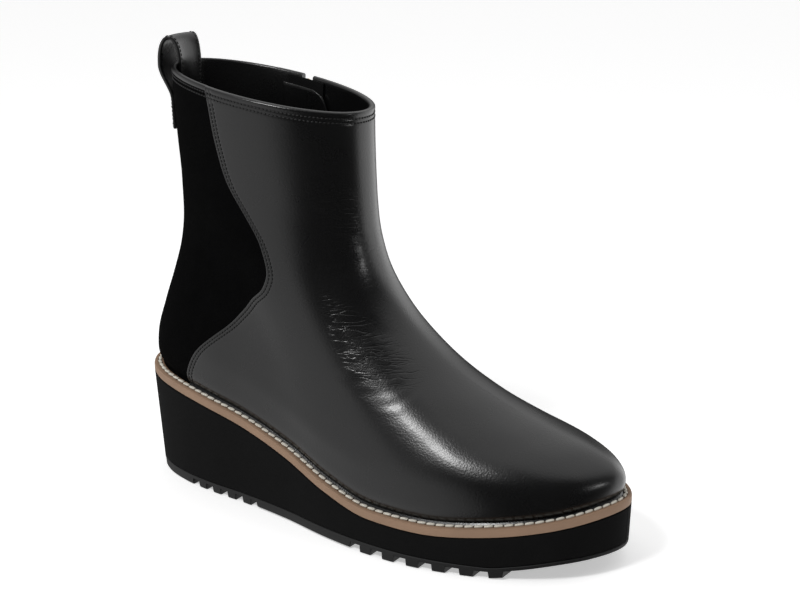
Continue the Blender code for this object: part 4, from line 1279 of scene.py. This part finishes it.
class BOOT_OT_sole(bpy.types.Operator):
    """Build the foam wedge, the lugged outsole and the insole."""

    bl_idname = "boot.sole"
    bl_label = "Sole"

    def execute(self, context):
        colours = context.scene.boot_colours
        marks = set()
        low, high = arch_span()
        for start, end in lug_spans() + [(low - LUG_SLOPE, high + LUG_SLOPE)]:
            marks |= {start, start + LUG_SLOPE, end - LUG_SLOPE, end}
        xs = stations(110, sorted(marks))
        soft = 0.0010
        levels = [
            (lambda x: sole_top(x), 0.0003),
            (lambda x: sole_top(x) - 0.0003, 0.0),
            (lambda x: mix(tread(x) + soft, sole_top(x), 0.5), 0.0),
            (lambda x: tread(x) + soft, 0.0),
            (lambda x: tread(x) + soft * 0.3, soft * 0.3),
            (lambda x: tread(x), soft),
        ]
        bm = loft("outsole", body_across(xs, levels), True)
        bmesh.ops.holes_fill(bm, edges=[e for e in bm.edges if e.is_boundary], sides=0)
        piece("boot_outsole", bm, (rubber(colours),), "boot", ("outsole",), 25.0)

        xs = stations(140)
        levels = [(lambda x: welt_under(x) - GAP, 0.0005), (lambda x: welt_under(x) - GAP - 0.0005, 0.0)]
        for k in range(1, 8):
            levels.append((lambda x, s=k / 8: mix(welt_under(x) - GAP, sole_top(x) + GAP, s), 0.0))
        levels += [(lambda x: sole_top(x) + GAP + 0.0003, 0.0), (lambda x: sole_top(x) + GAP, 0.0003)]
        bm = loft("wedge", body_across(xs, levels), True)
        bmesh.ops.holes_fill(bm, edges=[e for e in bm.edges if e.is_boundary], sides=0)
        piece("boot_wedge", bm, (foam(colours),), "boot", ("wedge",), 30.0)

        fit = WELT_LEDGE + WALL + INSOLE_FIT
        steps = [
            (fit + 0.012, lambda x: welt_top(x) + GAP),
            (fit, lambda x: welt_top(x) + GAP),
            (fit, lambda x: welt_top(x) + GAP + INSOLE_THICK * 0.7),
            (fit + 0.0006, lambda x: welt_top(x) + GAP + INSOLE_THICK * 0.93),
            (fit + 0.0015, lambda x: welt_top(x) + GAP + INSOLE_THICK),
            (fit + 0.006, lambda x: welt_top(x) + GAP + INSOLE_THICK * 0.96),
            (fit + 0.012, lambda x: welt_top(x) + GAP + INSOLE_THICK * 0.93),
        ]
        xs = stations(90)
        half = edge_halves(fit)
        xs = np.linspace(half[0][0, 0] + 1e-5, half[0][-1, 0] - 1e-5, 91)
        columns = []
        for height, tuck in ((0.0, 0.0), (0.7, 0.0), (1.0, 0.0012)):
            rows = []
            for line in half:
                y = np.interp(xs, line[:, 0], line[:, 1])
                z = welt_top(xs) + GAP + INSOLE_THICK * height
                rows.append(np.stack([xs - HEEL_REACH, y - np.sign(y) * np.minimum(tuck, np.abs(y)), z], axis=-1))
            columns.append(rows)
        outer = [c[0] for c in columns]
        inner = [c[1] for c in columns][::-1]
        across = [mix(outer[-1], inner[0], k / 12) for k in range(1, 12)]
        under = [mix(inner[-1], outer[0], k / 6) for k in range(1, 6)]
        bm = loft("insole", np.stack(outer + across + inner + under, axis=1), True)
        bmesh.ops.holes_fill(bm, edges=[e for e in bm.edges if e.is_boundary], sides=0)
        made = piece("boot_insole", bm, (cloth(colours),), "boot", ("insole",))
        return {"FINISHED"}


def rise_of(height):
    """Rise at which the upper's back line stands at one height."""
    rises = np.linspace(0.0, 1.0, 400)
    return float(np.interp(height, [read(BACK, r)[1] for r in rises], rises))


def strap(name, grid, thick, material, stands_for=(), soft=0.0004):
    """Strap of even thickness about a grid of points, with soft edges."""
    bm = loft(name, grid)
    made = piece(name, bm, (material,), "boot", stands_for)
    wall = made.modifiers.new("Thickness", "SOLIDIFY")
    wall.thickness = thick
    wall.offset = 0.0
    wall.use_even_offset = True
    edge = made.modifiers.new("Soft edge", "BEVEL")
    edge.width = soft
    edge.segments = 3
    edge.limit_method = "ANGLE"
    edge.angle_limit = math.radians(50)
    return made


class BOOT_OT_loop(bpy.types.Operator):
    """Build the pull loop over the heel's rim and its stitches."""

    bl_idname = "boot.loop"
    bl_label = "Pull loop"

    def execute(self, context):
        colours = context.scene.boot_colours
        sizes = context.scene.boot_sizes
        heel = welt_top(FEATHER_BACK) + GAP
        rim = point_at(1.0, 0.0, OUTER)
        half = LOOP_THICK / 2
        inside = -(WALL + GAP + half)
        legs = []
        count = 26
        for k in range(count + 1):
            t = k / count
            free = float(ease((t - 0.45) / 0.55))
            share = (rim[2] - LOOP_DROP * (1 - t) - heel) / (COLLAR_BACK - heel)
            legs.append((rise_of(share), GAP + half + LOOP_STAND * free, 0.0, free))
        for k in range(1, count):
            turn = math.pi * k / count
            out = mix(inside, LOOP_STAND + GAP + half, (1 + math.cos(turn)) / 2)
            legs.append((1.0, out, LOOP_RISE * math.sin(turn) ** 0.8, math.cos(turn / 2)))
        for k in range(count + 1):
            share = (rim[2] - LOOP_TUCK * k / count - heel) / (COLLAR_BACK - heel)
            legs.append((rise_of(share), inside, 0.0, 0.0))
        grid, normals = [], []
        across = 14
        for rise, out, lift, free in legs:
            girth = girth_at(rise, OUTER)
            middle = skin(rise, 0.0, OUTER, out)
            row = []
            for n in range(across + 1):
                y = LOOP_WIDTH * (n / across - 0.5)
                point = skin(rise, abs(y) / girth, OUTER if y < 0 else INNER, out)
                point[0] = mix(point[0], middle[0], 0.9 * free)
                row.append(point + (0.0, 0.0, lift))
            grid.append(row)
        grid = np.array(grid)
        strap("boot_pull_loop", grid, LOOP_THICK, leather(colours), ("pull_loop",), 0.0005)
        around = np.gradient(grid, axis=1)
        upwards = np.gradient(grid, axis=0)
        normals = unit(np.cross(upwards, around))
        if normals[2, across // 2, 0] > 0:
            normals = -normals
        lines = []
        for column in (1, across - 1):
            lines.append((grid[:, column], normals[:, column], 0.0))
        for row in (2, 9):
            lines.append((grid[row], normals[row], 0.0))
        thick = sizes.seam_thread
        sew("loop_stitches", lines, sizes.seam_pitch, sizes.seam_pitch * 0.8, thick, thick * 0.8,
            half + thick * 0.05, black_thread(colours))
        return {"FINISHED"}


def zip_strip(rises, behind, ahead, out, across):
    """Grid of points along the zip at one distance out, behind and ahead of its line."""
    grid = []
    for rise, back, front in zip(rises, behind, ahead):
        middle = read(ZIP, rise)[0]
        girth = girth_at(rise, INNER)
        spots = np.linspace(middle - back / girth, middle + front / girth, across + 1)
        grid.append([skin(rise, turn, INNER, out) for turn in spots])
    return np.array(grid)


class BOOT_OT_zip(bpy.types.Operator):
    """Build the zip's tape, guard, teeth and the finish of its slider and pull tab."""

    bl_idname = "boot.zip"
    bl_label = "Zip"

    def execute(self, context):
        colours = context.scene.boot_colours
        sizes = context.scene.boot_sizes
        tape_out = -WALL - GAP - TAPE_THICK / 2
        rises = np.linspace(ZIP_FROM - 0.02, TAPE_TOP, 60)
        half = np.full(60, TAPE_WIDTH / 2)
        strap("boot_zip_tape", zip_strip(rises, half, half, tape_out, 8), TAPE_THICK, cloth(colours),
              ("zip_tape",), 0.0002)
        guard_out = tape_out - TAPE_THICK / 2 - GAP - GUARD_THICK / 2
        rises = np.linspace(ZIP_FROM - 0.03, GUARD_TOP, 90)
        corner = np.minimum((GUARD_TOP - rises) * (COLLAR_FRONT - welt_top(FEATHER_TOE)), GUARD_CORNER)
        cutback = GUARD_CORNER - np.sqrt(GUARD_CORNER**2 - (GUARD_CORNER - corner) ** 2)
        grid = zip_strip(rises, np.full(90, GUARD_BEHIND), GUARD_AHEAD - cutback * 0.85, guard_out, 14)
        strap("boot_zip_guard", grid, GUARD_THICK, leather(colours), ("zip_guard",), 0.0003)
        self.teeth(sizes, brass(colours))
        for node in ("zip_slider", "zip_pull_tab"):
            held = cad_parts[node]
            held.data.materials.clear()
            held.data.materials.append(brass(colours))
        return {"FINISHED"}

    def teeth(self, sizes, metal):
        """Two meshing rows of teeth down the slot."""
        rises = np.linspace(CHAIN_FROM, TAPE_TOP, 200)
        line = np.array([skin(r, read(ZIP, r)[0], INNER, -WALL + CHAIN_THICK / 2) for r in rises])
        outs = np.array([outwards(r, read(ZIP, r)[0], INNER) for r in rises])
        shape = bmesh.new()
        bmesh.ops.create_cube(shape, size=2.0)
        bmesh.ops.bevel(shape, geom=shape.edges[:], offset=0.35, affect="EDGES", segments=1, profile=0.5, material=-1)
        corners = np.array([tuple(v.co) for v in shape.verts])
        faces = [[v.index for v in f.verts] for f in shape.faces]
        shape.free()
        run = lengths(line)
        spots, joins = [], []
        for k in range(int(run[-1] / sizes.tooth_pitch * 2)):
            place = (k + 0.5) * sizes.tooth_pitch / 2
            centre = along_line(line, place)
            up = unit(along_line(line, place + 0.001) - along_line(line, place - 0.001))
            out = unit(np.array([np.interp(place, run, outs[:, n]) for n in range(3)]))
            aside = unit(np.cross(up, out))
            side = 1 if k % 2 else -1
            base = len(spots) * len(corners)
            size = np.array([0.00125, sizes.tooth_pitch * 0.22, CHAIN_THICK * 0.45])
            spots.append(centre + aside * side * 0.0009 + (corners * size) @ np.stack([aside, up, out]))
            joins.extend([[base + n for n in face] for face in faces])
        mesh = bpy.data.meshes.new("boot_zip_teeth")
        mesh.from_pydata(np.concatenate(spots).tolist(), [], joins)
        mesh.materials.append(metal)
        made = bpy.data.objects.new("boot_zip_teeth", mesh)
        bpy.context.scene.collection.objects.link(made)
        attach(made, "boot")
        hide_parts("zip_chain")


class BOOT_OT_stage(bpy.types.Operator):
    """Lay the floor, hang the lamps and set the camera."""

    bl_idname = "boot.stage"
    bl_label = "Stage"

    def execute(self, context):
        sizes = context.scene.boot_sizes
        scene = context.scene
        bm = bmesh.new()
        bmesh.ops.create_grid(bm, x_segments=1, y_segments=1, size=sizes.floor / 2)
        mesh = bpy.data.meshes.new("floor")
        bm.to_mesh(mesh)
        bm.free()
        floor = bpy.data.objects.new("floor", mesh)
        scene.collection.objects.link(floor)
        white = bpy.data.materials.new("Floor white")
        white.use_nodes = True
        shader = white.node_tree.nodes["Principled BSDF"]
        shader.inputs["Base Color"].default_value = (0.93, 0.93, 0.93, 1.0)
        shader.inputs["Roughness"].default_value = 0.9
        shader.inputs["Specular IOR Level"].default_value = 0.1
        shader.inputs["Emission Color"].default_value = (1.0, 1.0, 1.0, 1.0)
        shader.inputs["Emission Strength"].default_value = 0.45
        mesh.materials.append(white)

        floor.visible_glossy = False
        self.studio(scene)
        scene.view_settings.view_transform = "Standard"

        target = Vector((0.085, 0.0, 0.08))
        for name, x, y, z, away, wide, tall, glow in LAMPS[1:]:
            data = bpy.data.lights.new(name, "AREA")
            data.shape = "RECTANGLE"
            data.size, data.size_y = wide, tall
            data.energy = glow * math.pi * wide * tall
            lamp = bpy.data.objects.new(name, data)
            scene.collection.objects.link(lamp)
            towards = Vector((x, y, z)).normalized()
            lamp.location = target + towards * away
            lamp.rotation_euler = towards.to_track_quat("Z", "Y").to_euler()

        azimuth, elevation, roll = (math.radians(v) for v in (33.16, 18.11, 0.28))
        back = Vector((math.sin(azimuth) * math.cos(elevation), -math.cos(azimuth) * math.cos(elevation),
                       math.sin(elevation)))
        right = Vector((math.cos(azimuth), math.sin(azimuth), 0.0))
        up = back.cross(right)
        across = right * math.cos(roll) - up * math.sin(roll)
        upwards = right * math.sin(roll) + up * math.cos(roll)
        place = Vector((0.0855, 0.0, 0.085)) + back * 0.8043
        data = bpy.data.cameras.new("Camera")
        data.sensor_width = 36.0
        data.lens = 1672.5 / 800 * 36.0
        data.shift_x = 0.0308
        data.shift_y = 0.0520
        camera = bpy.data.objects.new("Camera", data)
        scene.collection.objects.link(camera)
        turned = Matrix((across, upwards, back)).transposed()
        camera.matrix_world = Matrix.Translation(place) @ turned.to_4x4()
        scene.camera = camera
        return {"FINISHED"}


    def studio(self, scene):
        """Soft panels of light all round in the dark, behind a white backdrop."""
        world = bpy.data.worlds.new("Studio")
        world.use_nodes = True
        tree = world.node_tree
        sky = tree.nodes["Background"]
        sky.inputs["Color"].default_value = (1.0, 1.0, 1.0, 1.0)
        place = tree.nodes.new("ShaderNodeTexCoord")
        total = None
        for name, x, y, z, inner, outer, glow in PANELS[1:]:
            aim = Vector((x, y, z)).normalized()
            n = add_nodes(
                tree,
                (name + " aim", "ShaderNodeVectorMath", {"operation": "DOT_PRODUCT"}, {1: aim}),
                (name + " edge", "ShaderNodeMapRange", {"interpolation_type": "SMOOTHSTEP"},
                 {"From Min": math.cos(math.radians(outer)), "From Max": math.cos(math.radians(inner)),
                  "To Max": glow}),
                (name + " sum", "ShaderNodeMath", {"operation": "ADD"}, {1: DARK}),
            )
            tree.links.new(place.outputs["Generated"], n[name + " aim"].inputs[0])
            tree.links.new(n[name + " aim"].outputs["Value"], n[name + " edge"].inputs["Value"])
            tree.links.new(n[name + " edge"].outputs["Result"], n[name + " sum"].inputs[0])
            if total is not None:
                tree.links.new(total, n[name + " sum"].inputs[1])
            total = n[name + " sum"].outputs[0]
        path = tree.nodes.new("ShaderNodeLightPath")
        white = add_nodes(tree, ("backdrop", "ShaderNodeMix", {"data_type": "FLOAT"}, {"B": 1.05}))["backdrop"]
        tree.links.new(path.outputs["Is Camera Ray"], white.inputs["Factor"])
        tree.links.new(total, white.inputs["A"])
        tree.links.new(white.outputs["Result"], sky.inputs["Strength"])
        scene.world = world


class BOOT_PT_panel(bpy.types.Panel):
    """Lists the boot's pieces, sizes and colours in the 3D view's sidebar."""

    bl_idname = "BOOT_PT_panel"
    bl_label = "Ankle boot"
    bl_space_type = "VIEW_3D"
    bl_region_type = "UI"
    bl_category = "Boot"

    def draw(self, context):
        for made in OPERATORS:
            self.layout.operator(made.bl_idname)
        for group_of in (context.scene.boot_sizes, context.scene.boot_colours):
            for name in group_of.__annotations__:
                self.layout.prop(group_of, name)


OPERATORS = (BOOT_OT_sole, BOOT_OT_welt, BOOT_OT_upper, BOOT_OT_seams, BOOT_OT_loop, BOOT_OT_zip, BOOT_OT_stage)
CLASSES = (BootSizes, BootColours, *OPERATORS, BOOT_PT_panel)


def register():
    for made in CLASSES:
        bpy.utils.register_class(made)
    bpy.types.Scene.boot_sizes = bpy.props.PointerProperty(type=BootSizes)
    bpy.types.Scene.boot_colours = bpy.props.PointerProperty(type=BootColours)


def unregister():
    del bpy.types.Scene.boot_sizes
    del bpy.types.Scene.boot_colours
    for made in reversed(CLASSES):
        bpy.utils.unregister_class(made)


def main():
    register()
    bpy.ops.boot.sole()
    bpy.ops.boot.welt()
    bpy.ops.boot.upper()
    bpy.ops.boot.seams()
    bpy.ops.boot.loop()
    bpy.ops.boot.zip()
    bpy.ops.boot.stage()


if __name__ == "__main__":
    main()
